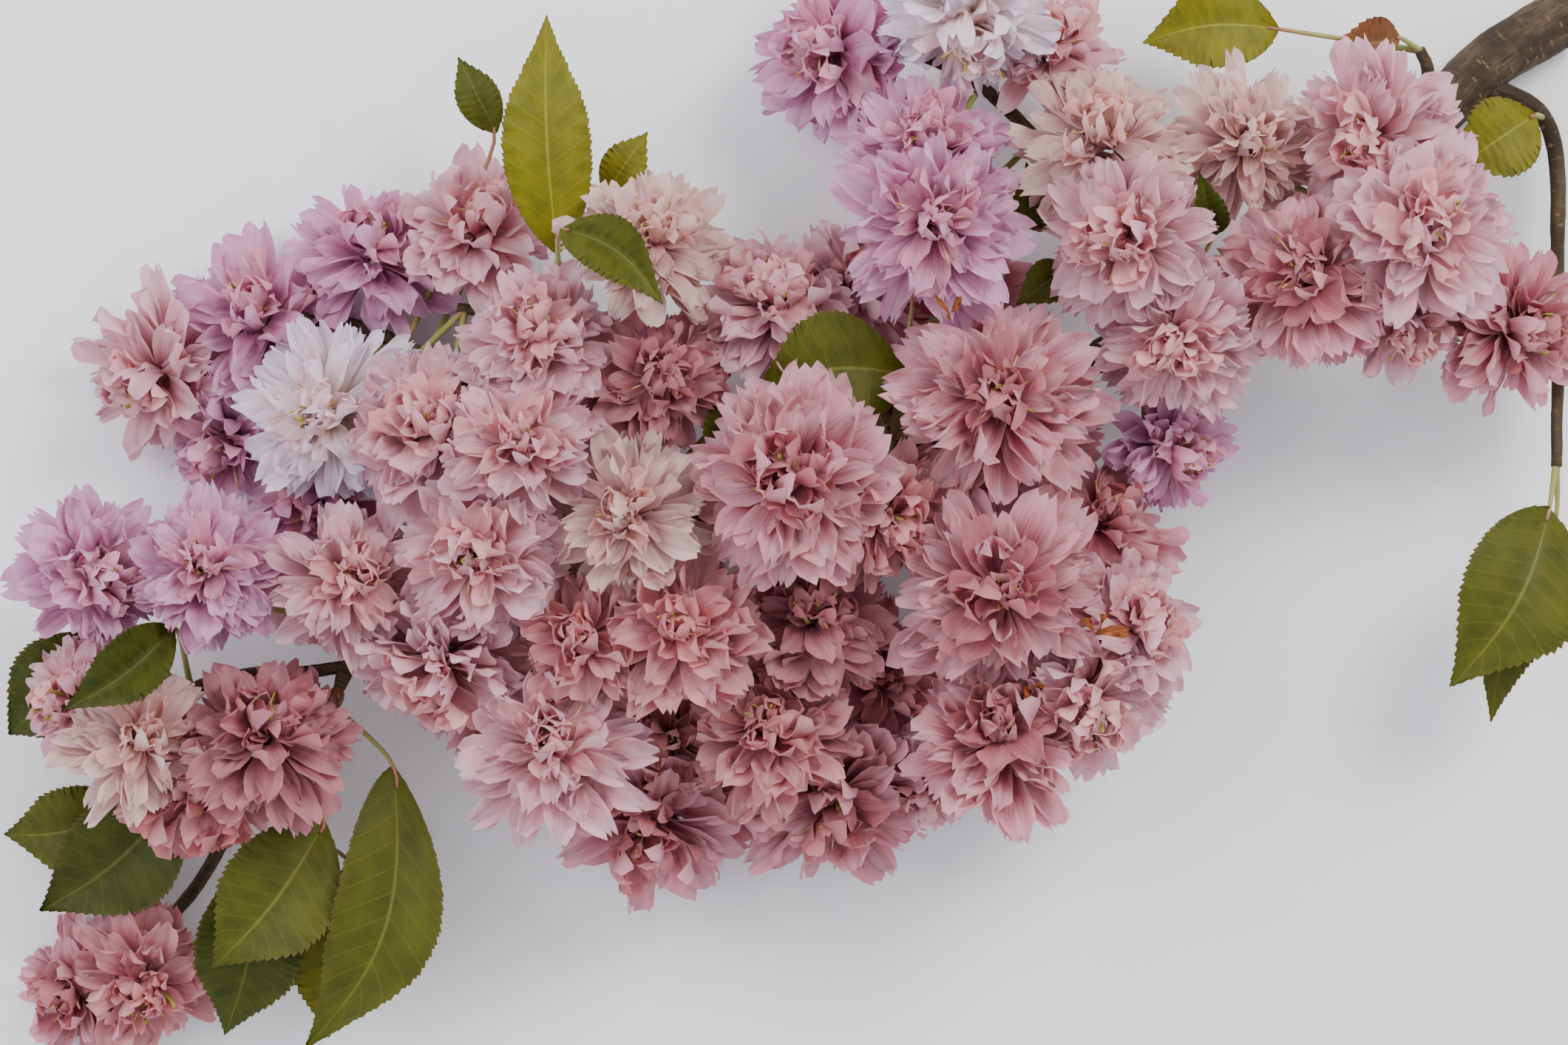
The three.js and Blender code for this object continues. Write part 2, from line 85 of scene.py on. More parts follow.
def places_at(line, shares):
    """The places at shares of a line's length."""
    steps = np.linalg.norm(np.diff(line, axis=0), axis=1)
    run = np.concatenate([[0], np.cumsum(steps)]) / steps.sum()
    return np.stack([np.interp(shares, run, line[:, k]) for k in range(3)], 1)


def in_scene(name, data):
    """An object of a mesh, a lamp or a camera, put in the scene."""
    made = bpy.data.objects.new(name, data)
    bpy.context.collection.objects.link(made)
    return made


def stem_base(name, lines, rings):
    """Centre lines as one wire mesh that knows each point's share and distance along its line."""
    places, edges = [], []
    facts = {"share": [], "along": [], "girth": []}
    for line in lines:
        length = line_length(line)
        cap = CAP / length
        shares = np.concatenate([[0], np.linspace(cap, 1 - cap, rings), [1]])
        edges += [(len(places) + i, len(places) + i + 1) for i in range(len(shares) - 1)]
        places += list(placed(places_at(line, shares)))
        facts["share"] += list(shares)
        facts["along"] += list(shares * length * MM)
        facts["girth"] += [0, *[1] * rings, 0]
    wire = bpy.data.meshes.new(name)
    wire.from_pydata(places, edges, [])
    for fact, values in facts.items():
        wire.attributes.new(fact, "FLOAT", "POINT").data.foreach_set("value", values)
    return in_scene(name, wire)


def add(tree, kind, inputs=None, **settings):
    """A node with its settings and inputs, each of which is a value or another node's output."""
    made = tree.nodes.new(kind)
    for name, value in settings.items():
        setattr(made, name, value)
    for key, value in (inputs or {}).items():
        if isinstance(value, bpy.types.NodeSocket):
            tree.links.new(value, made.inputs[key])
        else:
            made.inputs[key].default_value = value
    return made


def calc(tree, operation, *values, clamp=False):
    """The result of a sum on values or outputs."""
    return add(
        tree, "ShaderNodeMath", dict(enumerate(values)), operation=operation, use_clamp=clamp
    ).outputs[0]


def vector_calc(tree, operation, *values):
    return add(
        tree, "ShaderNodeVectorMath", dict(enumerate(values)), operation=operation
    ).outputs[0]


def times(tree, a, b):
    return calc(tree, "MULTIPLY", a, b)


def vector_of(tree, x=0.0, y=0.0, z=0.0):
    return add(tree, "ShaderNodeCombineXYZ", {0: x, 1: y, 2: z}).outputs[0]


def on_circle(tree, angle, radius):
    """The two coordinates of a point on a circle."""
    return [times(tree, calc(tree, way, angle), radius) for way in ("COSINE", "SINE")]


def scaled(tree, way, by):
    """A vector made longer or shorter."""
    return add(tree, "ShaderNodeVectorMath", {0: way, 3: by}, operation="SCALE").outputs[0]


def noise(tree, place, scale, detail=2.0, roughness=0.5, **settings):
    """Noise from 0 to 1 at a place, finer with a larger scale."""
    inputs = {"Vector": place, "Scale": scale, "Detail": detail, "Roughness": roughness}
    return add(tree, "ShaderNodeTexNoise", inputs, **settings).outputs["Fac"]


def known(tree, fact, kind="FLOAT"):
    """What a mesh or line remembers about each of its points."""
    return add(tree, "GeometryNodeInputNamedAttribute", {0: fact}, data_type=kind).outputs[0]


def stored(tree, geometry, fact, value, kind="FLOAT", domain="POINT"):
    """The geometry, which now remembers a value at each point or corner."""
    return add(
        tree, "GeometryNodeStoreNamedAttribute", {0: geometry, 2: fact, 3: value},
        data_type=kind, domain=domain,
    ).outputs[0]


def forgotten(tree, geometry, *facts):
    """The geometry without what it remembers under these names."""
    for fact in facts:
        geometry = add(
            tree, "GeometryNodeRemoveAttribute", {"Geometry": geometry, "Name": fact}
        ).outputs[0]
    return geometry


def new_tree(name, inputs):
    """A Geometry Nodes tree with named inputs, and the outputs of its input node."""
    tree = bpy.data.node_groups.new(name, "GeometryNodeTree")
    tree.interface.new_socket("Geometry", in_out="OUTPUT", socket_type="NodeSocketGeometry")
    for label, kind in {"Geometry": "Geometry", **inputs}.items():
        tree.interface.new_socket(label, in_out="INPUT", socket_type=f"NodeSocket{kind}")
    return tree, tree.nodes.new("NodeGroupInput").outputs


def grown(name, base, tree, values):
    """The plain mesh that a tree grows from a base object, which then goes."""
    sockets = {s.name: s.identifier for s in tree.interface.items_tree if s.in_out == "INPUT"}
    modifier = base.modifiers.new(tree.name, "NODES")
    modifier.node_group = tree
    for label, value in values.items():
        modifier[sockets[label]] = value
    depsgraph = bpy.context.evaluated_depsgraph_get()
    mesh = bpy.data.meshes.new_from_object(base.evaluated_get(depsgraph), depsgraph=depsgraph)
    mesh.name = name
    bpy.data.objects.remove(base)
    return mesh


def corners_of(mesh):
    """A mesh's points, and the three points of each of its triangles."""
    points = np.empty(3 * len(mesh.vertices))
    mesh.vertices.foreach_get("co", points)
    mesh.calc_loop_triangles()
    corners = np.empty(3 * len(mesh.loop_triangles), int)
    mesh.loop_triangles.foreach_get("vertices", corners)
    return points.reshape(-1, 3), corners.reshape(-1, 3)


def facing_out(mesh):
    """Turns a closed mesh's faces outwards."""
    points, corners = corners_of(mesh)
    a, b, c = (points[corners[:, k]] for k in range(3))
    if np.einsum("ij,ij->", a, np.cross(b, c)) < 0:
        mesh.flip_normals()
    return mesh


def as_piece(name, mesh, slot, *nodes):
    """A finished mesh as a piece of the branch that stands for its source nodes."""
    piece = in_scene(name, mesh)
    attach(piece, "root")
    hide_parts(*nodes)


def make_stem_tree():
    """Stems along their centre lines: tapered, flared at the tip, and with bark relief."""
    tree, given = new_tree("tapered_stem", {
        "Root radius": "Float", "Tip radius": "Float", "Taper": "Float", "Flare from": "Float",
        "Flare radius": "Float", "Sides": "Int", "Relief": "Float", "Finish": "Material",
    })
    line = add(tree, "GeometryNodeMeshToCurve", {0: given["Geometry"]}).outputs[0]
    place = add(tree, "GeometryNodeInputPosition").outputs[0]
    line = stored(tree, line, "heart", place, "FLOAT_VECTOR")
    share, turn = known(tree, "share"), known(tree, "turn")
    thinning = calc(tree, "POWER", calc(tree, "SUBTRACT", 1.0, share), given["Taper"])
    spread = calc(tree, "SUBTRACT", given["Root radius"], given["Tip radius"])
    radius = calc(tree, "MULTIPLY_ADD", spread, thinning, given["Tip radius"])
    flare = add(
        tree, "ShaderNodeMapRange", {0: share, 1: given["Flare from"], 2: 1.0},
        interpolation_type="SMOOTHSTEP",
    ).outputs[0]
    wider = calc(tree, "SUBTRACT", given["Flare radius"], radius)
    girth = known(tree, "girth")
    radius = times(tree, calc(tree, "MULTIPLY_ADD", wider, flare, radius), girth)
    rim = add(tree, "GeometryNodeCurveArc", {
        "Resolution": calc(tree, "ADD", given["Sides"], 1.0), "Radius": 1.0,
        "Start Angle": 0.0, "Sweep Angle": math.tau,
    }).outputs[0]
    rim = stored(tree, rim, "turn", add(tree, "GeometryNodeSplineParameter").outputs["Factor"])
    skin = add(
        tree, "GeometryNodeCurveToMesh", {"Curve": line, "Profile Curve": rim, "Scale": radius}
    ).outputs[0]

    angle = times(tree, turn, math.tau)
    round_it = vector_of(tree, *on_circle(tree, angle, given["Root radius"]))
    along = vector_of(tree, z=known(tree, "along"))

    def rough(stretch_round, stretch_along, scale, depth):
        """Relief of a grain that is stretched round the stem or along it."""
        grain = vector_calc(
            tree, "ADD", vector_calc(tree, "MULTIPLY", round_it, (stretch_round,) * 3),
            vector_calc(tree, "MULTIPLY", along, (stretch_along,) * 3),
        )
        return times(tree, calc(tree, "SUBTRACT", noise(tree, grain, scale), 0.5), depth)

    relief = calc(tree, "ADD", rough(1, 1, 140, 1.6), rough(1, 0.22, 900, 0.8))
    relief = calc(tree, "ADD", relief, rough(0.12, 1, 1100, 0.7))
    heart = known(tree, "heart", "FLOAT_VECTOR")
    outward = vector_calc(tree, "NORMALIZE", vector_calc(tree, "SUBTRACT", place, heart))
    push = scaled(tree, outward, times(tree, relief, given["Relief"]))
    skin = stored(tree, skin, "OFBake", vector_of(tree, turn, share), "FLOAT2", "CORNER")
    skin = add(tree, "GeometryNodeSetPosition", {"Geometry": skin, "Offset": push}).outputs[0]
    skin = add(
        tree, "GeometryNodeMergeByDistance", {"Geometry": skin, "Distance": 1e-6}
    ).outputs[0]
    skin = add(tree, "GeometryNodeSetShadeSmooth", {0: skin}).outputs[0]
    skin = forgotten(tree, skin, "heart", "turn", "share", "along", "girth")
    skin = add(tree, "GeometryNodeRealizeInstances", {0: skin}).outputs[0]
    skin = add(tree, "GeometryNodeSetMaterial", {0: skin, "Material": given["Finish"]}).outputs[0]
    add(tree, "NodeGroupOutput", {0: skin})
    return tree


def light_of(red, green, blue):
    """A colour read off a screen, 0 to 255, as the light it stands for."""
    shares = np.array([red, green, blue]) / 255
    linear = np.where(shares < 0.04045, shares / 12.92, ((shares + 0.055) / 1.055) ** 2.4)
    return (*linear, 1.0)


def new_finish(name, roughness, specular=0.3, sheen=0.0):
    """A material, its tree and its main shader, with the values that are the same all over."""
    material = bpy.data.materials.new(name)
    material.use_nodes = True
    shader = material.node_tree.nodes["Principled BSDF"]
    shader.inputs["Roughness"].default_value = roughness
    shader.inputs["Specular IOR Level"].default_value = specular
    shader.inputs["Sheen Weight"].default_value = sheen
    shader.inputs["Sheen Roughness"].default_value = 0.45
    return material, material.node_tree, shader


def blend(tree, share, a, b):
    """Colour a turning into colour b by a share."""
    return add(tree, "ShaderNodeMix", {0: share, 6: a, 7: b}, data_type="RGBA").outputs[2]


def ramp(tree, share, stops):
    """A share turned into a level, or into a colour read off a screen, by stops."""
    made = add(tree, "ShaderNodeValToRGB", {0: share})
    points = made.color_ramp.elements
    while len(points) < len(stops):
        points.new(0.5)
    for point, (at, colour) in zip(points, stops):
        point.position = at
        point.color = light_of(*colour) if np.ndim(colour) else (colour,) * 3 + (1.0,)
    return made.outputs["Color"]


def tinted(tree, colour, share, stops, tint):
    """A colour that turns into a tint by a share and its stops."""
    return blend(tree, ramp(tree, share, stops), colour, light_of(*tint))


def dress(tree, shader, colour, relief, strength=0.3, depth=0.1):
    """Gives a shader its colour, and bumps of a depth in millimetres."""
    tree.links.new(colour, shader.inputs["Base Color"])
    bump = add(tree, "ShaderNodeBump", {
        "Strength": strength, "Distance": depth * MM, "Height": relief
    })
    tree.links.new(bump.outputs[0], shader.inputs["Normal"])


def chart_of(tree):
    """The two coordinates of the piece's own map."""
    place = add(tree, "ShaderNodeUVMap", uv_map="OFBake").outputs[0]
    return add(tree, "ShaderNodeSeparateXYZ", {0: place}).outputs


def bark_finish(name, length, radius, wood):
    """Cherry bark on a stem of this length and girth, in millimetres, with its sawn end if any."""
    material, tree, shader = new_finish(name, 0.78, 0.25)
    turn, share = chart_of(tree)[:2]
    x, y = on_circle(tree, times(tree, turn, math.tau), radius)
    z = times(tree, share, length)

    def at(across, along):
        return vector_of(tree, times(tree, x, across), times(tree, y, across), times(tree, z, along))

    patches = noise(tree, at(1, 0.6), 0.16, 4.0)
    colour = ramp(tree, patches, [
        (0.3, (42, 31, 22)), (0.48, (64, 50, 36)), (0.62, (88, 73, 54)), (0.8, (76, 66, 42)),
    ])
    grain = noise(tree, at(1, 0.16), 1.7, 5.0, 0.7)
    colour = tinted(tree, colour, grain, [(0.36, 0.75), (0.5, 0.0)], (36, 28, 20))
    wrinkles = noise(tree, at(0.1, 1), 1.5, 3.0)
    colour = tinted(tree, colour, wrinkles, [(0.6, 0.0), (0.72, 0.4)], (112, 95, 70))
    pores = add(
        tree, "ShaderNodeTexVoronoi", {"Vector": at(0.34, 1), "Scale": 0.62, "Randomness": 1.0}
    ).outputs["Distance"]
    pore = ramp(tree, pores, [(0.14, 0.8), (0.22, 0.0)])
    colour = blend(tree, pore, colour, light_of(122, 92, 64))
    speckle = noise(tree, at(1, 1), 5.5)
    colour = tinted(tree, colour, speckle, [(0.35, 0.22), (0.6, 0.0)], (34, 27, 20))
    if wood:
        here = add(tree, "ShaderNodeTexCoord").outputs["Object"]
        reach = add(
            tree, "ShaderNodeVectorMath", {0: here, 1: tuple(CUT_END)}, operation="DISTANCE"
        ).outputs["Value"]
        wobble = times(tree, noise(tree, at(1, 1), 0.3), 5.0)
        rings = calc(tree, "SINE", calc(tree, "MULTIPLY_ADD", reach, YEAR_RINGS, wobble))
        pale = tinted(tree, light_of(226, 196, 150), rings, [(0.0, 0.0), (0.9, 1.0)], (186, 142, 98))
        heart = ramp(tree, times(tree, reach, 1 / (LIMB_BUTT * MM)), [
            (0.1, (138, 92, 62)), (0.5, (222, 190, 146)), (0.86, (214, 184, 138)), (0.9, (98, 64, 44)),
        ])
        cut = calc(tree, "LESS_THAN", share, 1.2 * CAP / length)
        colour = blend(tree, cut, colour, blend(tree, 0.5, pale, heart))
    relief = times(tree, grain, 0.8)
    for level, depth in ((speckle, 0.3), (wrinkles, 0.5), (pore, 0.4)):
        relief = calc(tree, "ADD", relief, times(tree, level, depth))
    dress(tree, shader, colour, relief, 0.6, 0.4)
    return material


def stems(name, lines, rings, sides, root, tip, relief, finish, taper=1.0, flare=None):
    """Closed stems on centre lines, with this many rings and sides, sized in millimetres."""
    flare_from, flare_radius = flare or (0.99, tip)
    return facing_out(grown(name, stem_base(f"{name}_lines", lines, rings), STEM_TREE, {
        "Root radius": root * MM, "Tip radius": tip * MM, "Taper": taper,
        "Flare from": flare_from, "Flare radius": flare_radius * MM, "Sides": sides,
        "Relief": relief * MM, "Finish": finish,
    }))


STEM_TREE = make_stem_tree()
LIMB_LINE = smooth_line(LIMB_POINTS)
LIMB_NODES = ("limb_butt", "limb_middle", "limb_tip")
limb_bark = bark_finish("limb_bark", line_length(LIMB_LINE), LIMB_BUTT, wood=True)
limb_mesh = stems(
    "limb", [LIMB_LINE], rings=430, sides=64, root=LIMB_BUTT, tip=LIMB_TIP, relief=0.5,
    finish=limb_bark, taper=LIMB_TAPER,
)
as_piece("limb", limb_mesh, "bark", *LIMB_NODES)

# The twigs: short spurs and a few longer shoots that leave the limb and carry the sprays. Their
# bark is smoother than the limb's, with the close rings of old bud scars.
TWIG_ROOT, TWIG_TIP = 2.0, 1.2
TWIG_LENGTH = 60.0  # a usual one, by which the bark's pattern is scaled
TWIGS = {
    "tip": (0.985, [(-122, -34, 31), (-128, -36, 32)]),
    "left": (0.9, [(-92, -24, 35), (-99, -20, 36)]),
    "hanging": (0.955, [(-108, -42, 27), (-116, -58, 20), (-127, -78, 13), (-142, -96, 13)]),
    "upper_left": (0.63, [(-2, 18, 33), (-25, 25, 32), (-46, 42, 30), (-70, 46, 26)]),
    "left_back": (0.7, [(-40, 4, 24), (-68, 30, 21), (-100, 44, 20), (-128, 36, 20)]),
    "centre": (0.77, [(-44, -11, 38), (-45, -12, 40)]),
    "middle": (0.55, [(22, 17, 38), (23, 18, 41)]),
    "lower": (0.605, [(7, -10, 31), (3, -34, 28), (-6, -56, 25)]),
    "top": (0.37, [(66, 66, 28), (44, 92, 29), (26, 102, 28)]),
    "right_centre": (0.4, [(81, 37, 34), (79, 42, 41)]),
    "right": (0.24, [(114, 66, 31), (115, 68, 36)]),
    "lower_right": (0.46, [(56, 12, 34), (57, -14, 34), (59, -28, 35)]),
    "right_edge": (0.08, [(165, 88, 14), (167, 52, 20), (166, 12, 25)]),
    "butt": (0.13, [(139, 98, 20), (137, 102, 22)]),
    "under_middle": (0.5, [(36, 22, 24), (34, 22, 22)]),
    "under_left": (0.82, [(-62, -20, 25), (-64, -20, 22)]),
}
TWIG_LINES = {
    name: smooth_line([places_at(LIMB_LINE, [share])[0], *points])
    for name, (share, points) in TWIGS.items()
}
SPRAY_NODES = [f"spray_{name}" for name in TWIGS]
BUDS = [  # share of the limb's length, and which way the bud's stub leaves it
    (0.066, (-0.2, -1, 0.3)), (0.2, (-0.4, 1, 0.6)), (0.31, (0.2, -1, 0.5)), (0.93, (-0.3, -1, 0.3)),
]
STUB_LENGTH = 4.0


def limb_radius(share):
    """The limb's radius at a share of its length."""
    return LIMB_TIP + (LIMB_BUTT - LIMB_TIP) * (1 - share) ** LIMB_TAPER


def bud_stub(share, way):
    """The short line of a bud's stub, out from just inside the limb's bark."""
    start, ahead = places_at(LIMB_LINE, [share, share + 0.01])
    along = (ahead - start) / np.linalg.norm(ahead - start)
    out = np.array(way) - np.dot(way, along) * along
    out = out / np.linalg.norm(out) + 0.5 * along
    reach = limb_radius(share) + np.array([[-0.5], [STUB_LENGTH]])
    return start + out / np.linalg.norm(out) * reach


BUD_STUBS = [bud_stub(*bud) for bud in BUDS]
twig_lines = [*TWIG_LINES.values(), *BUD_STUBS]
twig_bark = bark_finish("twig_bark", TWIG_LENGTH, TWIG_ROOT, wood=False)
twig_mesh = stems(
    "twigs", twig_lines, rings=60, sides=14, root=TWIG_ROOT, tip=TWIG_TIP, relief=0.34,
    finish=twig_bark,
)
as_piece("twigs", twig_mesh, "bark", *SPRAY_NODES)

# The flower stalks: one thin green stalk to each bloom, from the nearest place on its twig to the
# bloom's back, where it widens into a reddish cup. Most blooms are nodes of the source, and the
# smaller or half-hidden ones, marked as clustered, belong to their sprays.
STALK_RADIUS, CUP_RADIUS, CUP_FROM = 0.75, 2.3, 0.82
GAP = 0.3  # between one solid of the source and the next
BACK_DEPTH = 0.5  # how far a bloom's back is behind its middle, in radii
TWIG_LAST, TWIG_PLACES = 0.98, 24  # where a twig's last stalk may leave it, and places tried
STALK_POINTS, STALK_HOLD, STALK_LEAD = 40, 0.3, 0.35  # how its curve leaves the twig and arrives
FLOOR = LIMB_POINTS[0][2] - CUT_END[2] / MM  # the floor's height in the source's layout
BLOOMS = {  # x, y, z, width, tilt off the vertical, clock direction of the tilt, tone
    "tip": [
        (-108, -43, 52, 35, 35, 80, "rose"), (-135, -45, 50, 30, 25, 60, "cream"),
        (-152, -38, 38, 27, 45, 180, "shell"), (-122, -60, 38, 36, 60, 275, "salmon"),
    ],
    "left": [
        (-144, -11, 44, 30, 25, 0, "lilac"), (-121, -9, 52, 30, 15, 80, "lilac"),
        (-91, -12, 50, 31, 20, 20, "shell"),
    ],
    "upper_left": [
        (-98, 23, 40, 37, 20, 180, "white"), (-75, 20, 50, 33, 20, 100, "shell"),
        (-52, 40, 54, 31, 30, 100, "shell"), (-26, 31, 50, 31, 15, 60, "rose"),
        (-27, 60, 50, 33, 35, 60, "cream"),
    ],
    "centre": [
        (-55, 17, 62, 33, 15, 90, "shell"), (-33, 2, 60, 33, 15, 140, "cream"),
        (-64, -7, 58, 34, 15, 180, "shell"), (-73, -33, 46, 36, 55, 250, "shell"),
        (-48, -46, 56, 35, 20, 100, "shell"), (-42, -24, 54, 32, 15, 120, "salmon"),
        (-22, -22, 58, 34, 15, 130, "salmon"),
    ],
    "middle": [
        (2, 10, 66, 40, 15, 110, "pink"), (22, 0, 56, 30, 35, 320, "salmon"),
        (45, 26, 60, 39, 10, 60, "pink"), (-2, 48, 42, 32, 40, 90, "shell"),
    ],
    "lower": [(6, -19, 46, 33, 30, 90, "rose"), (-3, -43, 44, 34, 25, 100, "salmon")],
    "top": [
        (30, 80, 50, 31, 30, 90, "lilac"), (31, 63, 62, 37, 10, 90, "lilac"),
        (68, 82, 48, 35, 35, 90, "cream"), (39, 104, 44, 38, 50, 270, "white"),
    ],
    "right_centre": [(70, 59, 60, 35, 20, 200, "shell"), (81, 37, 54, 33, 30, 240, "shell")],
    "right": [
        (98, 80, 44, 31, 15, 0, "cream"), (122, 80, 50, 35, 30, 200, "shell"),
        (133, 62, 62, 37, 10, 45, "shell"), (109, 52, 56, 35, 15, 150, "pink"),
        (131, 41, 46, 30, 50, 290, "shell"),
    ],
    "lower_right": [
        (45, -14, 64, 42, 5, 90, "pink"), (45, -43, 56, 36, 35, 100, "pink"),
        (75, -21, 52, 30, 40, 20, "shell"), (64, -38, 54, 33, 35, 300, "shell"),
    ],
    "right_edge": [(157, 42, 38, 34, 35, 0, "pink")],
}
CLUSTERED = {
    "left": [(-101, -17, 25, 28, 70, 260, "shell")],
    "hanging": [(-156, -103, 8.2, 30, 35, 200, "pink"), (-138, -101, 17, 29, 30, 280, "salmon")],
    "left_back": [
        (-113, 45, 22, 36, 30, 100, "lilac"), (-137, 31, 20, 33, 40, 200, "shell"),
        (-89, 60, 22, 33, 40, 90, "lilac"), (-66, 64, 26, 31, 35, 80, "shell"),
        (-121, 17, 18, 31, 45, 230, "lilac"), (-101, 4, 22, 29, 30, 250, "lilac"),
    ],
    "middle": [(16, 53, 28, 28, 45, 60, "shell")],
    "lower": [
        (22, -35, 29, 29, 25, 0, "rose"), (-29, -66, 28, 37, 45, 270, "pink"),
        (11, -61, 30, 36, 35, 280, "pink"), (30, -58, 24, 27, 50, 300, "shell"),
        (-26, -47, 30, 31, 30, 200, "salmon"),
    ],
    "top": [(58, 103, 30, 28, 45, 60, "shell"), (9, 101, 26, 34, 40, 180, "lilac")],
    "right_centre": [(84, 15, 34, 28, 45, 330, "lilac")],
    "lower_right": [(68, 1, 38, 31, 40, 60, "pink")],
    "under_middle": [
        (20, 24, 11.7, 32, 165, 120, "pink"), (48, 16, 12.3, 32, 160, 300, "pink"),
        (38, 46, 11.5, 31, 160, 60, "pink"),
    ],
    "under_left": [
        (-52, -8, 11.5, 31, 160, 60, "pink"), (-78, -24, 11.7, 32, 165, 200, "pink"),
        (-54, -38, 11.5, 31, 160, 290, "pink"),
    ],
}


def facing_of(bloom):
    """The direction in which a bloom looks."""
    tilt, clock = np.radians(bloom[4:6])
    return np.array([
        math.sin(tilt) * math.cos(clock), math.sin(tilt) * math.sin(clock), math.cos(tilt)
    ])


def nearest_on_twig(spray, place):
    """The place on a spray's twig nearest to another, outside the limb's bark."""
    share, line = TWIGS[spray][0], TWIG_LINES[spray]
    out = (limb_radius(share) + 2 * GAP + STALK_RADIUS) / line_length(line)
    places = places_at(line, np.linspace(out, TWIG_LAST, TWIG_PLACES))
    return places[np.linalg.norm(places - place, axis=1).argmin()]


def stalk_line(spray, bloom):
    """A stalk's curve, which ends square to the bloom's back."""
    facing = facing_of(bloom)
    end = np.array(bloom[:3]) - facing * (BACK_DEPTH * bloom[3] / 2 + GAP)
    start = nearest_on_twig(spray, end)
    reach = np.linalg.norm(end - start)
    hold, lead = start + STALK_HOLD * (end - start), end - STALK_LEAD * reach * facing
    s = np.linspace(0, 1, STALK_POINTS)[:, None]
    line = (
        (1 - s) ** 3 * start + 3 * (1 - s) ** 2 * s * hold + 3 * (1 - s) * s**2 * lead + s**3 * end
    )
    line[:, 2] = np.maximum(line[:, 2], FLOOR + STALK_RADIUS)
    return line


def stalk_finish():
    """Green stalks with fine hairs, which flush red at the cup."""
    material, tree, shader = new_finish("stalk_green", 0.55, 0.35, 0.25)
    turn, share = chart_of(tree)[:2]
    across = on_circle(tree, times(tree, turn, math.tau), 1.0)
    streaks = noise(tree, vector_of(tree, *across, times(tree, share, 4.0)), 3.0, 4.0)
    colour = ramp(tree, share, [
        (0.0, (122, 92, 50)), (0.12, (126, 140, 62)), (0.7, (138, 150, 74)), (0.9, (150, 98, 72)),
        (1.0, (128, 66, 58)),
    ])
    colour = tinted(tree, colour, streaks, [(0.4, 0.0), (0.7, 0.6)], (158, 120, 84))
    dress(tree, shader, colour, streaks)
    return material


EVERY_BLOOM = [
    (spray, bloom) for blooms in (BLOOMS, CLUSTERED) for spray in blooms for bloom in blooms[spray]
]
stalk_lines = [stalk_line(spray, bloom) for spray, bloom in EVERY_BLOOM]
stalk_green = stalk_finish()
stalk_mesh = stems(
    "flower_stalks", stalk_lines, rings=22, sides=8, root=STALK_RADIUS, tip=STALK_RADIUS,
    relief=0.05, finish=stalk_green, flare=(CUP_FROM, CUP_RADIUS),
)
stalk_points, _ = corners_of(stalk_mesh)
stalk_points[:, 2] = np.maximum(stalk_points[:, 2], 0)  # the lowest cup lies flat on the floor
stalk_mesh.vertices.foreach_set("co", stalk_points.ravel())
as_piece("flower_stalks", stalk_mesh, "stalk", *SPRAY_NODES)

# The leaves: thin pointed ovals with saw-toothed edges on short stalks, folded a little at the
# midrib and puckered between their side veins. Each hangs on the source's own midrib curve.
PETIOLE_RADIUS, PETIOLE_TIP = 0.8, 0.4
PETIOLE_NECK, PETIOLE_POINTS = 0.12, 46  # its curve's end on the midrib, and points it keeps
LEAF_SEED = 40
LEAF_THICKNESS, TOOTH_PITCH, TOOTH_REACH = 0.36, 1.5, 0.7
LEAVES = {  # base, tip, width, arch, sweep, fold, tone
    "tip": [
        ((-128, -22, 50), (-150, -39, 57), 13, 5, 2, 40, "deep"),
        ((-142, -25, 28), (-168, -46, 15), 22, 4, 0, 15, "deep"),
    ],
    "hanging": [
        ((-98, -64, 33), (-122, -95, 33), 24, 4, 2, 15, "mid"),
        ((-83, -52, 36), (-103, -113, 26), 22, 6, 9, 15, "mid"),
        ((-93, -74, 22), (-99, -112, 14), 21, 3, 0, 12, "fresh"),
        ((-113, -74, 24), (-121, -111, 18), 22, 4, 2, 12, "deep"),
        ((-130, -57, 20), (-161, -84, 18), 24, 3, 3, 12, "deep"),
        ((-142, -62, 14), (-170, -68, 10), 18, 3, 2, 12, "mid"),
    ],
    "upper_left": [
        ((-48, 57, 40), (-50, 107, 46), 18, 3, 1, 12, "fresh"),
        ((-46, 61, 60), (-25, 45, 67), 12, 2, 3, 35, "mid"),
        ((-38, 70, 34), (-29, 83, 36), 9, 2, 0, 12, "fresh"),
    ],
    "left_back": [((-62, 84, 24), (-70, 100, 26), 9, 2, 0, 20, "mid")],
    "centre": [((-9, 26, 42), (-17, 11, 52), 9, 2, 0, 25, "deep")],
    "middle": [
        ((26, 31, 45), (-8, 25, 49), 23, 4, -4, 15, "mid"),
        ((27, 51, 44), (18, 56, 44), 6, 1, 0, 20, "mid"),
    ],
    "top": [((54, 62, 38), (51, 76, 45), 9, 2, 0, 20, "mid")],
    "right_centre": [
        ((90, 60, 50), (86, 73, 60), 7, 2, 0, 35, "deep"),
        ((60, 54, 42), (49, 46, 45), 9, 2, 0, 20, "mid"),
    ],
    "right_edge": [
        ((164, 3, 28), (142, -35, 34), 26, 5, 3, 15, "mid"),
        ((166, 1, 24), (152, -43, 24), 15, 4, -3, 30, "mid"),
        ((162, 88, 20), (144, 76, 23), 17, 3, 0, 12, "fresh"),
    ],
    "butt": [
        ((106, 106, 26), (77, 103, 26), 18, 3, -2, 12, "fresh"),
        ((132, 104, 27), (118, 103, 31), 10, 2, 1, 20, "young"),
    ],
}
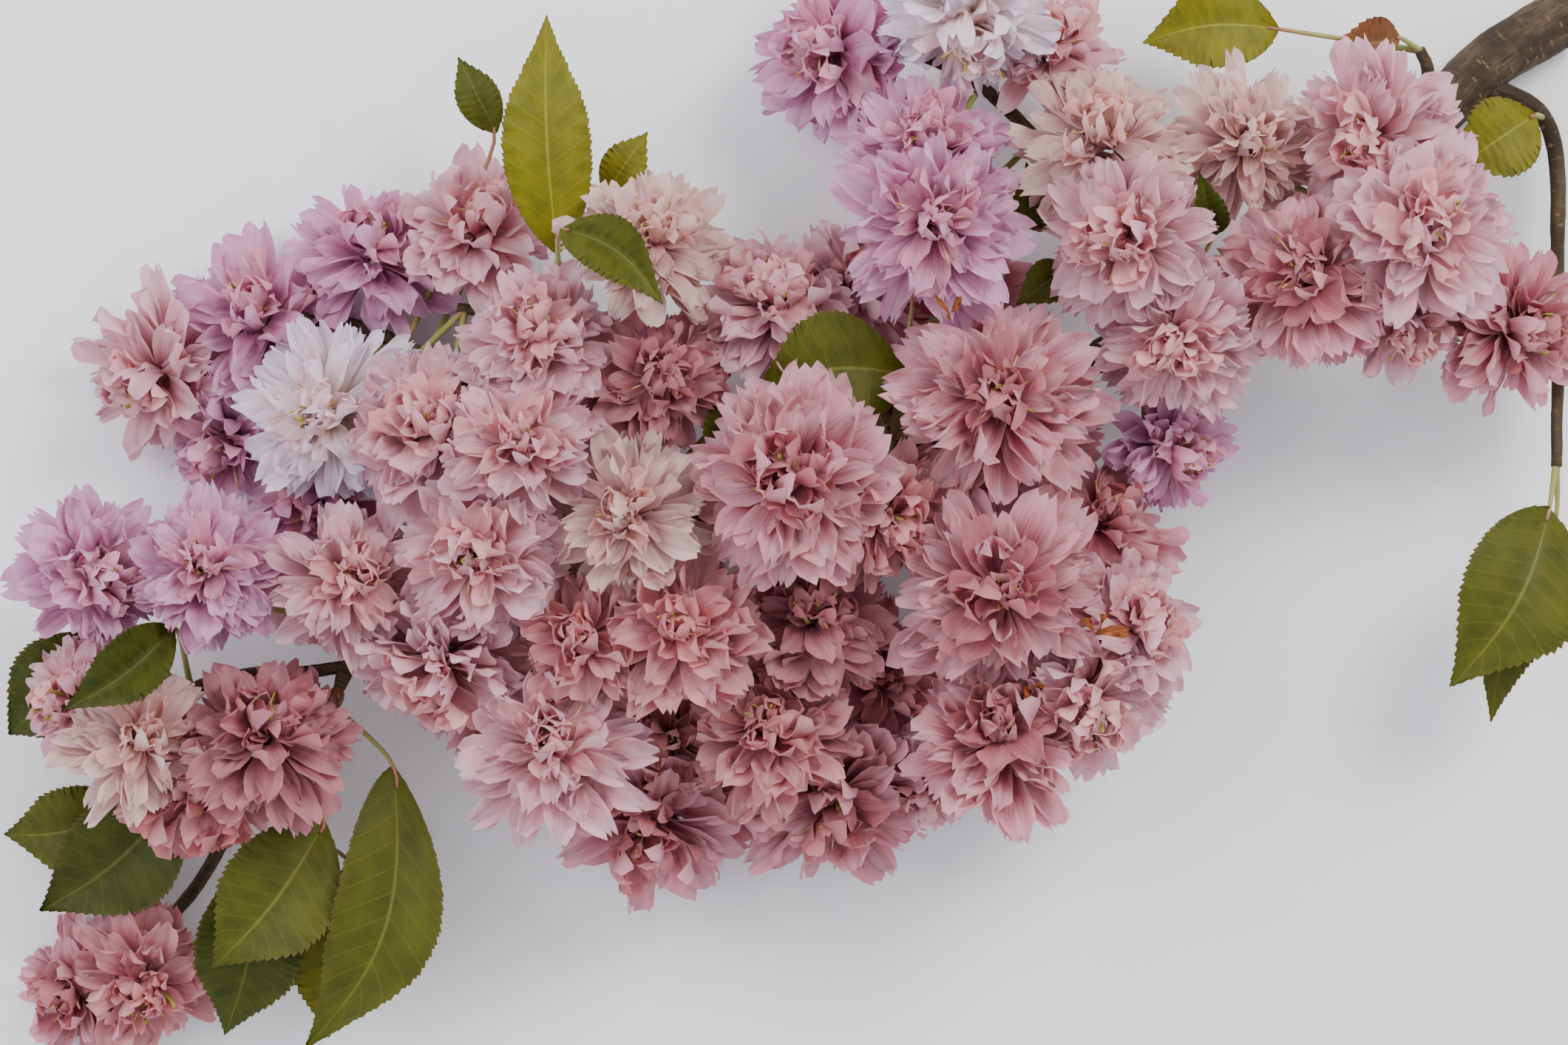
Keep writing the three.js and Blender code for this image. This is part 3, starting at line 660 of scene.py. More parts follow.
LEAF_TONES = {  # blade, shade between the veins, veins, underside
    "deep": ((72, 79, 17), (54, 60, 12), (100, 106, 40), (92, 100, 44)),
    "mid": ((90, 93, 20), (70, 74, 15), (122, 122, 48), (108, 114, 48)),
    "fresh": ((128, 123, 22), (102, 101, 18), (158, 153, 54), (138, 138, 50)),
    "young": ((138, 86, 54), (108, 74, 42), (168, 128, 82), (142, 102, 70)),
}
LEAF_ROWS, LEAF_COLUMNS, SIDE_VEINS = 112, 9, 12
LEAF_TILES = len(LEAF_TONES), 2  # a column of the map to each tone, upper side and underside


def midrib(leaf, share):
    """Places on a leaf's midrib, with its side and its upper face's direction."""
    base, tip, _, arch, sweep = leaf[:5]
    base, along = np.array(base, float), np.subtract(tip, base).astype(float)
    ahead = along / np.linalg.norm(along)
    side = np.cross((0, 0, 1), ahead)
    side /= np.linalg.norm(side)
    over = np.cross(ahead, side)
    share = np.atleast_1d(share)[:, None]
    bow = np.sin(np.pi * share)
    return base + along * share + over * arch * bow + side * sweep * bow, side, over


def leaf_blade(leaf, seed):
    """A closed thin blade: its points, faces, and each corner's place across and along it."""
    width, fold = leaf[2], math.radians(leaf[5])
    length = np.linalg.norm(np.subtract(leaf[1], leaf[0]))
    rng = np.random.default_rng(seed)
    share = np.linspace(0, 1, LEAF_ROWS)
    middle, side, over = midrib(leaf, share)
    teeth = max(8, round(length / TOOTH_PITCH))
    saw = (share * teeth) % 1
    half = 0.52 * width * np.sin(np.pi * share**0.84) ** 0.8
    half *= 1 - 0.55 * np.clip((share - 0.62) / 0.38, 0, 1) ** 1.3
    across = np.linspace(-1, 1, LEAF_COLUMNS)
    edge = np.abs(across) ** 6
    reach = half[:, None] * across * (1 + edge * 0.08 * (saw[:, None] - 0.4))
    forward = edge * (saw[:, None] - 0.5) * TOOTH_REACH
    phase = share[:, None] * SIDE_VEINS - np.abs(across) * 1.5
    pucker = 0.24 * np.cos(2 * np.pi * phase) * np.abs(across) ** 0.5 * (1 - edge)
    sway = rng.uniform(0, 6.28, 2)
    ruffle = 0.045 * width * across**2 * np.where(
        across < 0, np.sin(share[:, None] * 9 + sway[0]), np.sin(share[:, None] * 8 + sway[1])
    )
    rise = np.abs(reach) * math.tan(fold) - pucker * (half / half.max())[:, None] + ruffle
    rise -= 0.35 * np.exp(-((across / 0.1) ** 2)) * (1 - share[:, None])
    ahead = np.gradient(middle, axis=0)
    ahead /= np.linalg.norm(ahead, axis=1)[:, None]
    top = (
        middle[:, None] + side * reach[..., None] + over * rise[..., None]
        + ahead[:, None] * forward[..., None]
    )
    return thin_solid(top, -over * LEAF_THICKNESS, across, share)


def thin_solid(top, down, across, along):
    """A sheet of points with an underside that meets it at the rim, as points, faces and chart."""
    rows, columns = top.shape[:2]
    inner = np.zeros((rows, columns), bool)
    inner[1:-1, 1:-1] = True
    upper = np.arange(rows * columns).reshape(rows, columns)
    lower = upper.copy()
    lower[inner] = rows * columns + np.arange(inner.sum())
    points = np.vstack([top.reshape(-1, 3), (top + down)[inner]])
    faces, charts = [], []
    for r in range(rows - 1):
        for c in range(columns - 1):
            ring = [(r, c), (r, c + 1), (r + 1, c + 1), (r + 1, c)]
            chart = [((across[b] + 1) / 2, along[a]) for a, b in ring]
            faces += [[upper[q] for q in ring], [lower[q] for q in ring[::-1]]]
            charts += [chart, chart[::-1]]
    return points, faces, charts


TILE_EDGES = 0.04, 0.03  # the margin inside a tile across and along, as shares of the tile


def tile(column, row, columns, rows):
    """The part of the map that one finish is drawn on."""
    left, low = TILE_EDGES
    return lambda u, v: (
        (column + left + (1 - 2 * left) * u) / columns, (row + low + (1 - 2 * low) * v) / rows
    )


def tile_chart(tree, columns, rows):
    """The two coordinates within a tile, each from 0 to 1."""
    shares = []
    for place, count, edge in zip(chart_of(tree)[:2], (columns, rows), TILE_EDGES):
        within = calc(tree, "FRACT", times(tree, place, float(count)))
        inside = 1 - 2 * edge
        shares.append(calc(tree, "MULTIPLY_ADD", within, 1 / inside, -edge / inside, clamp=True))
    return shares


def off_middle(tree, u):
    """How far a point is from the middle line, from 0 to 1 at the rim."""
    return calc(tree, "ABSOLUTE", calc(tree, "MULTIPLY_ADD", u, 2.0, -1.0))


def join_sheets(name, sheets, finishes):
    """Thin solids as one mesh. Each has an upper and an under finish, and the tile of each."""
    points, faces, charts, worn = [], [], [], []
    for (sheet_points, sheet_faces, sheet_charts), numbers, tiles in sheets:
        first = len(points)
        points += list(sheet_points)
        for i, (face, chart) in enumerate(zip(sheet_faces, sheet_charts)):
            faces.append([first + v for v in face])
            charts += [tiles[i % 2](u, v) for u, v in chart]
            worn.append(numbers[i % 2])
    mesh = bpy.data.meshes.new(name)
    mesh.from_pydata(points, [], faces)
    mesh.uv_layers.new(name="OFBake").data.foreach_set("uv", np.array(charts).ravel())
    for finish in finishes:
        mesh.materials.append(finish)
    mesh.polygons.foreach_set("material_index", worn)
    mesh.shade_smooth()
    sides = {}
    for number, polygon in enumerate(mesh.polygons):
        for edge in polygon.edge_keys:
            sides.setdefault(edge, set()).add(number % 2)
    rim = [len(sides[edge.key]) == 2 for edge in mesh.edges]
    mesh.attributes.new("sharp_edge", "BOOLEAN", "EDGE").data.foreach_set("value", rim)
    work = bmesh.new()
    work.from_mesh(mesh)
    bmesh.ops.remove_doubles(work, verts=work.verts, dist=1e-7)
    work.to_mesh(mesh)
    work.free()
    return facing_out(mesh)


def leaf_finish(name, blade, shade, vein, roughness, glow):
    """One side of a leaf: midrib, curved side veins and the fine net between them."""
    material, tree, shader = new_finish(name, roughness, 0.22)
    u, v = tile_chart(tree, *LEAF_TILES)
    out = off_middle(tree, u)
    place = vector_of(tree, times(tree, u, 9.0), times(tree, v, 22.0))
    mottle = noise(tree, place, 0.35, 3.0)
    colour = blend(tree, ramp(tree, mottle, [(0.35, 0.0), (0.7, 1.0)]), blade, shade)
    phase = calc(tree, "MULTIPLY_ADD", out, -1.5, times(tree, v, float(SIDE_VEINS)))
    phase = calc(tree, "FRACT", calc(tree, "ADD", phase, 2.0))
    off_vein = calc(tree, "ABSOLUTE", calc(tree, "SUBTRACT", phase, 0.5))
    side_vein = ramp(tree, off_vein, [(0.0, 0.36), (0.055, 0.0)])
    main_vein = ramp(tree, out, [(0.012, 0.75), (0.045, 0.0)])
    net = add(
        tree, "ShaderNodeTexVoronoi", {"Vector": place, "Scale": 2.2}, feature="DISTANCE_TO_EDGE"
    ).outputs["Distance"]
    net = ramp(tree, net, [(0.0, 0.1), (0.05, 0.0)])
    lines = calc(tree, "MAXIMUM", calc(tree, "MAXIMUM", side_vein, main_vein), net)
    colour = blend(tree, lines, colour, vein)
    colour = tinted(tree, colour, out, [(0.93, 0.0), (1.0, 0.5)], (112, 84, 48))
    relief = calc(tree, "SUBTRACT", times(tree, mottle, 0.5), lines)
    dress(tree, shader, colour, relief, 0.35, 0.2)
    let_light_through(tree, shader, colour, glow)
    return material


def let_light_through(tree, shader, colour, share):
    """Lets a share of the light pass through a thin blade or petal, in its own colour."""
    through = add(tree, "ShaderNodeBsdfTranslucent", {"Color": colour})
    mixed = add(tree, "ShaderNodeMixShader", {0: share, 1: shader.outputs[0], 2: through.outputs[0]})
    tree.links.new(mixed.outputs[0], tree.nodes["Material Output"].inputs["Surface"])


leaf_finishes = []
for tone, (blade, shade, vein, under) in LEAF_TONES.items():
    colours = [light_of(*colour) for colour in (blade, shade, vein)]
    below = [light_of(*colour) for colour in (under, blade, vein)]
    leaf_finishes += [
        leaf_finish(f"leaf_{tone}_upper", *colours, 0.5, 0.3),
        leaf_finish(f"leaf_{tone}_under", *below, 0.7, 0.3),
    ]
every_leaf = [(spray, leaf) for spray in LEAVES for leaf in LEAVES[spray]]
sheets, petiole_lines = [], []
for number, (spray, leaf) in enumerate(every_leaf):
    tone = list(LEAF_TONES).index(leaf[6])
    points, faces, charts = leaf_blade(leaf, LEAF_SEED + number)
    tiles = [tile(tone, side, *LEAF_TILES) for side in range(2)]
    sheets.append(((placed(points), faces, charts), (2 * tone, 2 * tone + 1), tiles))
    root, neck = (midrib(leaf, share)[0][0] for share in (0, PETIOLE_NECK))
    line = smooth_line([nearest_on_twig(spray, root), root, neck])
    petiole_lines.append(line[:PETIOLE_POINTS])
as_piece("leaves", join_sheets("leaves", sheets, leaf_finishes), "leaf", *SPRAY_NODES)
petiole_mesh = stems(
    "leaf_stalks", petiole_lines, rings=16, sides=8, root=PETIOLE_RADIUS, tip=PETIOLE_TIP,
    relief=0.05, finish=stalk_green,
)
as_piece("leaf_stalks", petiole_mesh, "stalk", *SPRAY_NODES)

# The sepals: five small pointed lobes round the rim of each cup, green flushed with red, which
# lie back under the outermost petals. They grow as a whorl, and so do petals and stamens.
PETAL_ROWS = (0, 0.28, 0.56, 0.78, 0.92, 1)
PETAL_COLUMNS = (-1, -0.67, -0.34, 0, 0.34, 0.67, 1)
PETAL_THICKNESS = 0.02  # as a share of its length


def petal_sheet(width, shoulder, tip, teeth, rise, bend, cup, ripple, twist):
    """A petal one unit long, standing on its foot along +Y with its upper face towards +Z."""
    along, across = np.array(PETAL_ROWS), np.array(PETAL_COLUMNS)
    grow = np.clip(along / shoulder, 0, 1)
    fade = np.clip((along - shoulder) / (1 - shoulder), 0, 1)
    half = width * (0.14 + 0.86 * np.sin(grow * np.pi / 2) ** 1.3) * (1 - (1 - tip) * fade**2.4)
    lean = rise - bend * along
    steps = np.diff(along, prepend=0)
    spine = np.stack([0 * along, np.cumsum(steps * np.cos(lean)), np.cumsum(steps * np.sin(lean))], 1)
    ahead = np.stack([0 * along, np.cos(lean), np.sin(lean)], 1)
    over = np.stack([0 * along, -np.sin(lean), np.cos(lean)], 1)
    x = half[:, None] * across
    lift = cup * 2 * half[:, None] * across**2
    lift = lift + ripple * across**2 * np.where(
        across < 0, np.sin(along[:, None] * 7.5), np.sin(along[:, None] * 6 + 2)
    ) * along[:, None]
    pleat = 0.3 * min(ripple, 0.12) * np.cos(3 * np.pi * across) * (1 - across**2)
    lift = lift + pleat * along[:, None]
    turn = twist * along[:, None]
    x, lift = x * np.cos(turn) - lift * np.sin(turn), x * np.sin(turn) + lift * np.cos(turn)
    back = np.array(teeth) * along[:, None] ** 5
    top = (
        spine[:, None] + x[..., None] * np.array([1, 0, 0]) + lift[..., None] * over[:, None]
        - back[..., None] * ahead[:, None]
    )
    return thin_solid(top, -PETAL_THICKNESS * over[:, None], across, along)


def shape_library(name, sheets):
    """Small shapes as a collection that a whorl picks from."""
    library = bpy.data.collections.new(name)
    for number, (sheet, where) in enumerate(sheets):
        mesh = join_sheets(f"{name}_{number}", [(sheet, (0, 0), (where, where))], [])
        library.objects.link(bpy.data.objects.new(f"{name}_{number}", mesh))
    return library


def make_whorl_tree():
    """Shapes in a spiral at the golden angle, from the outermost and lowest to the innermost."""
    floats = [
        "Outer length", "Inner length", "Outer lean", "Inner lean", "Foot radius", "Foot low",
        "Foot high", "Unevenness", "Breadth", "Crumple", "Crumple size", "Kinds",
    ]
    tree, given = new_tree("spiral_whorl", {
        "Count": "Int", **dict.fromkeys(floats, "Float"), "Seed": "Int", "Shapes": "Collection",
        **dict.fromkeys(RINGS, "Material"),
    })

    def chance(low, high, stream):
        """A random number for each shape, which is another draw in each stream."""
        seed = calc(tree, "MULTIPLY_ADD", given["Seed"], 17.0, float(stream))
        return add(
            tree, "FunctionNodeRandomValue", {2: low, 3: high, "Seed": seed}, data_type="FLOAT"
        ).outputs[1]

    def between(a, b, share):
        return calc(tree, "MULTIPLY_ADD", calc(tree, "SUBTRACT", b, a), share, a)

    def turned_by(x=0.0, y=0.0, z=0.0):
        return add(tree, "FunctionNodeEulerToRotation", {0: vector_of(tree, x, y, z)}).outputs[0]

    index = add(tree, "GeometryNodeInputIndex").outputs[0]
    share = calc(tree, "DIVIDE", index, calc(tree, "SUBTRACT", given["Count"], 1.0), clamp=True)
    uneven = given["Unevenness"]
    shift = times(tree, chance(-0.4, 0.4, 1), uneven)
    around = calc(tree, "MULTIPLY_ADD", index, GOLDEN_ANGLE, shift)
    around = calc(tree, "ADD", around, times(tree, given["Seed"], 1.7))
    share = calc(tree, "POWER", share, 1.5)
    lean = between(given["Outer lean"], given["Inner lean"], share)
    lean = calc(tree, "MULTIPLY_ADD", chance(-0.38, 0.34, 2), uneven, lean)
    length = between(given["Outer length"], given["Inner length"], share)
    length = times(tree, length, calc(tree, "MULTIPLY_ADD", chance(-0.3, 0.08, 3), uneven, 1.0))
    foot_radius = times(tree, given["Foot radius"], between(1.0, 0.3, share))
    height = between(given["Foot low"], given["Foot high"], share)
    foot = vector_of(tree, *on_circle(tree, around, foot_radius), height)
    points = add(tree, "GeometryNodePoints", {"Count": given["Count"], "Position": foot}).outputs[0]
    points = stored(tree, points, "depth", share)
    standing = turned_by(
        x=calc(tree, "SUBTRACT", math.pi / 2, lean), z=calc(tree, "SUBTRACT", around, math.pi / 2)
    )
    twist = turned_by(y=times(tree, chance(-0.5, 0.5, 4), uneven))
    turned = add(
        tree, "FunctionNodeRotateRotation", {0: standing, 1: twist}, rotation_space="LOCAL"
    ).outputs[0]
    breadth = calc(tree, "MULTIPLY_ADD", chance(-0.28, 0.28, 5), uneven, 1.0)
    breadth = times(tree, times(tree, length, given["Breadth"]), breadth)
    kind = calc(tree, "FLOOR", times(tree, share, times(tree, given["Kinds"], 0.999)))
    pick = calc(tree, "MULTIPLY_ADD", kind, 3.0, calc(tree, "FLOOR", chance(0.0, 2.999, 6)))
    shapes = add(
        tree, "GeometryNodeCollectionInfo",
        {0: given["Shapes"], "Separate Children": True, "Reset Children": True},
    ).outputs[0]
    whorl = add(tree, "GeometryNodeInstanceOnPoints", {
        "Points": points, "Instance": shapes, "Pick Instance": True, "Instance Index": pick,
        "Rotation": turned, "Scale": vector_of(tree, breadth, length, length),
    }).outputs[0]
    whorl = add(tree, "GeometryNodeRealizeInstances", {0: whorl}).outputs[0]
    place, depth = add(tree, "GeometryNodeInputPosition").outputs[0], known(tree, "depth")
    change = calc(tree, "MULTIPLY_ADD", given["Seed"], 3.1, times(tree, depth, 25.0))
    fold = add(tree, "ShaderNodeTexNoise", {
        "Vector": place, "W": change, "Detail": 1.0,
        "Scale": calc(tree, "DIVIDE", 1.0, given["Crumple size"]),
    }, noise_dimensions="4D").outputs["Color"]
    fold = vector_calc(tree, "SUBTRACT", fold, (0.5, 0.5, 0.5))
    out = add(tree, "ShaderNodeVectorMath", {0: place}, operation="LENGTH").outputs["Value"]
    free = calc(tree, "DIVIDE", out, times(tree, given["Outer length"], 0.6), clamp=True)
    push = scaled(tree, fold, times(tree, free, given["Crumple"]))
    whorl = add(tree, "GeometryNodeSetPosition", {"Geometry": whorl, "Offset": push}).outputs[0]
    for ring, start in RINGS.items():
        deeper = calc(tree, "GREATER_THAN", depth, start)
        whorl = add(tree, "GeometryNodeSetMaterial", {
            0: whorl, "Selection": deeper, "Material": given[ring]
        }).outputs[0]
    add(tree, "NodeGroupOutput", {0: forgotten(tree, whorl, "depth")})
    return tree


def whorl_on(name, bloom, shapes, finishes, values):
    """A whorl's mesh, and its points turned to face as a bloom does, about the bloom's middle."""
    base = in_scene(name, bpy.data.meshes.new(name))
    worn = {"Shapes": shapes, **dict(zip(RINGS, finishes))}
    mesh = grown(name, base, WHORL_TREE, {**PLAIN_WHORL, **values, **worn})
    points, _ = corners_of(mesh)
    turn = np.array(Vector((0, 0, 1)).rotation_difference(Vector(facing_of(bloom))).to_matrix())
    return mesh, points @ turn.T / MM + bloom[:3]


def set_places(mesh, points):
    """Moves a mesh's points to places of the source's layout."""
    mesh.vertices.foreach_set("co", placed(points).ravel())
    mesh.update()


def joined(name, meshes):
    """Several meshes with the same materials as one."""
    work = bmesh.new()
    for mesh in meshes:
        work.from_mesh(mesh)
    whole = bpy.data.meshes.new(name)
    for material in meshes[0].materials:
        whole.materials.append(material)
    work.to_mesh(whole)
    work.free()
    for mesh in meshes:
        bpy.data.meshes.remove(mesh)
    return whole


def whorls(name, blooms, shapes, finish, values_for, press=True):
    """A whorl to each bloom, all as one mesh. Its number and radius in metres give its values."""
    meshes = []
    for number, bloom in enumerate(blooms):
        values = values_for(number, bloom[3] / 2 * MM)
        mesh, points = whorl_on(name, bloom, shapes, [finish] * len(RINGS), values)
        set_places(mesh, pressed(points, bloom, []) if press else points)
        meshes.append(mesh)
    return joined(name, meshes)


def pressed(points, bloom, others):
    """Draws petals in towards their bloom's middle as far as its neighbours and the floor need."""
    middle, radius = np.array(bloom[:3]), bloom[3] / 2
    planes = [(np.array([0, 0, -1]), middle[2] - FLOOR)]
    for other in others:
        apart = np.linalg.norm(np.subtract(other[:3], middle))
        if 0 < apart < radius + other[3] / 2 + GAP:
            meet = (apart**2 + radius**2 - (other[3] / 2) ** 2) / (2 * apart)
            planes.append((np.subtract(other[:3], middle) / apart, meet + PETAL_OVERLAP))
    out = points - middle
    share = np.ones(len(points))
    for normal, reach in planes:
        ahead = out @ normal / reach
        soft = FREE + (1 - FREE) * (1 - np.exp(-(ahead - FREE) / (1 - FREE)))
        share = np.minimum(share, np.where(ahead > FREE, soft / np.maximum(ahead, FREE), 1))
    return middle + out * share[:, None]


PETAL_OVERLAP = 6.0  # how far past the plane where two blooms meet their petals may reach
FREE = 0.7  # the share of the way to such a plane up to which petals aren't drawn in
GOLDEN_ANGLE = math.pi * (3 - math.sqrt(5))
RINGS = {"Outer finish": -1.0, "Middle finish": 0.333, "Inner finish": 0.667}  # and its start
PLAIN_WHORL = {
    "Foot low": 0.0, "Foot high": 0.0, "Unevenness": 1.0, "Breadth": 1.0, "Crumple": 0.0,
    "Crumple size": 5 * MM, "Kinds": 1.0,
}
WHORL_TREE = make_whorl_tree()
sepal_shapes = shape_library("sepal_shape", [
    (petal_sheet(0.19, 0.3, 0.06, (0,) * 7, 0.3, 0.5, 0.2, 0.02, 0.1), tile(0, 0, 1, 1)),
])


def streaked_finish(name, surface, stops, stretch, scale, most, tint, rim=None):
    """Colour from foot to point, with fine lengthwise streaks of a tint, and a rim if any."""
    material, tree, shader = new_finish(name, *surface)
    u, v = chart_of(tree)[:2]
    streaks = noise(tree, vector_of(tree, times(tree, u, stretch), v), scale, 3.0)
    colour = ramp(tree, v, stops)
    if rim:
        colour = tinted(tree, colour, off_middle(tree, u), [(0.7, 0.0), (1.0, 0.7)], rim)
    colour = tinted(tree, colour, streaks, [(0.4, 0.0), (0.7, most)], tint)
    dress(tree, shader, colour, streaks)
    return material


def sepal_values(number, radius):
    return {
        "Count": 5, "Outer length": 0.5 * radius, "Inner length": 0.5 * radius,
        "Outer lean": 1.5, "Inner lean": 1.5, "Foot radius": 2.1 * MM,
        "Foot low": -0.56 * radius, "Foot high": -0.55 * radius, "Unevenness": 0.7, "Seed": number,
    }


every_place = [bloom for _, bloom in EVERY_BLOOM]
sepal_green = streaked_finish(
    "sepal", (0.55, 0.3, 0.2), [(0.0, (128, 92, 62)), (0.4, (120, 120, 60)), (1.0, (150, 82, 74))],
    12.0, 1.4, 0.5, (96, 104, 48),
)
sepal_mesh = whorls("sepals", every_place, sepal_shapes, sepal_green, sepal_values)
as_piece("sepals", facing_out(sepal_mesh), "stalk", *SPRAY_NODES)

# The buds: leaf buds that have not opened, pointed and wrapped in overlapping brown scales, which
# are shiny, greener at the foot, and dry and pale at the rim.
BUD_LENGTH, BUD_SEED = 6.5, 501
scale_shapes = shape_library("scale_shape", [
    (petal_sheet(0.3, 0.4, 0.12, (0,) * 7, rise, -1.2, 0.5, 0.02, 0.1), tile(0, 0, 1, 1))
    for rise in (-0.45, -0.5, -0.55)
])


def bud_place(start, end):
    """A bud at its stub's end, given as a bloom is: place, width, tilt and clock direction."""
    way = (end - start) / np.linalg.norm(end - start)
    turn = math.degrees(math.acos(way[2])), math.degrees(math.atan2(way[1], way[0]))
    return (*(end - 0.5 * way), 2 * BUD_LENGTH, *turn)


def bud_values(number, length):
    return {
        "Count": 9, "Outer length": 0.55 * length, "Inner length": length, "Outer lean": 0.5,
        "Inner lean": 0.12, "Foot radius": 1.0 * MM, "Foot high": 0.2 * MM, "Unevenness": 0.25,
        "Crumple": 0.2 * MM, "Crumple size": 3 * MM, "Seed": BUD_SEED + number,
    }


bud_scale = streaked_finish(
    "bud_scale", (0.4, 0.45), [(0.0, (104, 96, 52)), (0.35, (112, 62, 38)), (1.0, (84, 44, 30))],
    10.0, 1.6, 0.4, (66, 34, 24), rim=(158, 116, 78),
)
bud_places = [bud_place(*stub) for stub in BUD_STUBS]
bud_mesh = whorls("buds", bud_places, scale_shapes, bud_scale, bud_values, press=False)
as_piece("buds", bud_mesh, "bark", *LIMB_NODES)

# The petals: close to a hundred in a large bloom, lobed at the end, paler at their tips and rosier
# at the foot. The outer ones spread flat, the inner ones stand up crumpled, and where two blooms
# press on each other their petals are drawn in, as the source draws in its rosettes.
LARGE_COUNT, LARGE_SPREAD = 98, 1.17  # petals, and the outermost's length in radii of the bloom
SMALL_COUNT, SMALL_SPREAD = 72, 1.32  # the same for the clustered blooms
PETAL_TILES, PETAL_KINDS, PETAL_SEED = (3, 4), 4.0, 101
# The shapes, three of each kind, from the outermost kind in: half width, shoulder, tip width,
# teeth, rise, bend, cup, ripple and twist.
PETAL_SHAPES = [
    (0.215, 0.7, 0.6, (0.08, 0.0, 0.07, 0.01, 0.06, 0.0, 0.08), 0.4, 1.0, 0.1, 0.09, 0.1),
    (0.195, 0.68, 0.56, (0.1, 0.01, 0.0, 0.09, 0.02, 0.0, 0.11), 0.25, 0.4, 0.16, 0.1, -0.15),
    (0.18, 0.66, 0.52, (0.07, 0.0, 0.06, 0.0, 0.08, 0.02, 0.12), 0.55, 1.4, 0.12, 0.1, 0.2),
    (0.215, 0.68, 0.6, (0.09, 0.0, 0.08, 0.02, 0.0, 0.06, 0.06), 0.5, 1.5, 0.14, 0.11, -0.2),
    (0.195, 0.68, 0.58, (0.08, 0.06, 0.0, 0.09, 0.0, 0.02, 0.11), 0.3, 0.6, 0.2, 0.11, 0.25),
    (0.175, 0.64, 0.52, (0.12, 0.0, 0.07, 0.0, 0.08, 0.02, 0.09), 0.55, 1.7, 0.16, 0.12, -0.35),
    (0.24, 0.68, 0.66, (0.1, 0.0, 0.08, 0.01, 0.07, 0.0, 0.12), 0.15, -0.3, 0.2, 0.2, 0.3),
    (0.22, 0.68, 0.64, (0.13, 0.0, 0.03, 0.09, 0.0, 0.06, 0.1), 0.5, 1.9, 0.16, 0.22, -0.4),
    (0.2, 0.66, 0.6, (0.11, 0.04, 0.08, 0.0, 0.06, 0.0, 0.13), 0.35, 1.2, 0.2, 0.2, 0.5),
    (0.25, 0.68, 0.7, (0.1, 0.0, 0.07, 0.01, 0.07, 0.03, 0.11), 0.1, -0.5, 0.24, 0.22, 0.4),
    (0.22, 0.66, 0.66, (0.13, 0.02, 0.0, 0.08, 0.02, 0.04, 0.11), 0.45, 1.9, 0.22, 0.2, -0.5),
    (0.19, 0.64, 0.62, (0.12, 0.01, 0.07, 0.0, 0.06, 0.02, 0.13), 0.3, 0.8, 0.3, 0.18, 0.6),
]
PETAL_TONES = {  # foot, middle and tip of a petal
    "white": ((250, 226, 206), (253, 240, 236), (252, 240, 245)),
    "cream": ((216, 156, 158), (236, 196, 190), (247, 222, 214)),
    "shell": ((220, 132, 148), (236, 177, 184), (245, 211, 215)),
    # lilac: pink with a cool cast of painted light, the sky's light from the upper left
    "lilac": ((198, 98, 146), (226, 154, 187), (241, 200, 218)),
    "pink": ((168, 44, 76), (216, 122, 142), (244, 197, 203)),
    # salmon: a warm pink, partly its own tint and partly painted shade for blooms in shade
    "salmon": ((194, 88, 106), (221, 143, 150), (239, 187, 188)),
    # rose: a deep pink of its own, darkened further by painted shade for blooms in shade
    "rose": ((174, 66, 96), (201, 120, 135), (223, 164, 170)),
}
RING_CASTS = {  # how each ring's colours differ from the tone
    "outer": (0.99, 1.01, 1.03), "middle": (0.99, 1.0, 1.02), "inner": (1.0, 0.97, 0.97),
}


def petal_finish(name, foot, middle, tip):
    """Petal tissue: colour from foot to tip, fine lengthwise veins and a paler edge."""
    material, tree, shader = new_finish(name, 0.55, 0.25, 0.25)
    u, v = tile_chart(tree, *PETAL_TILES)
    corner = add(tree, "ShaderNodeUVMap", uv_map="OFBake").outputs[0]
    drift = calc(tree, "SUBTRACT", noise(tree, corner, 7.0, 1.0), 0.5)
    level = calc(tree, "MULTIPLY_ADD", drift, 0.5, v)
    colour = ramp(tree, level, [(0.06, foot), (0.44, middle), (0.86, tip)])
    place = vector_calc(tree, "MULTIPLY", corner, (72.0, 8.0, 0.0))
    veins = noise(tree, place, 1.0, 2.0, 0.6, noise_dimensions="2D")
    fading = ramp(tree, v, [(0.35, 1.0), (0.9, 0.2)])
    streaks = times(tree, ramp(tree, veins, [(0.42, 0.0), (0.64, 0.7)]), fading)
    colour = blend(tree, streaks, colour, light_of(*foot))
    colour = tinted(tree, colour, off_middle(tree, u), [(0.55, 0.0), (1.0, 0.75)], tip)
    dress(tree, shader, colour, veins, 0.35, 0.15)
    let_light_through(tree, shader, colour, 0.58)
    return material


petal_shapes = shape_library("petal_shape", [
    (petal_sheet(*shape), tile(number % 3, number // 3, *PETAL_TILES))
    for number, shape in enumerate(PETAL_SHAPES)
])
petal_finishes = {
    tone: [
        petal_finish(f"petal_{tone}_{ring}", *(np.multiply(colour, cast) for colour in colours))
        for ring, cast in RING_CASTS.items()
    ]
    for tone, colours in PETAL_TONES.items()
}


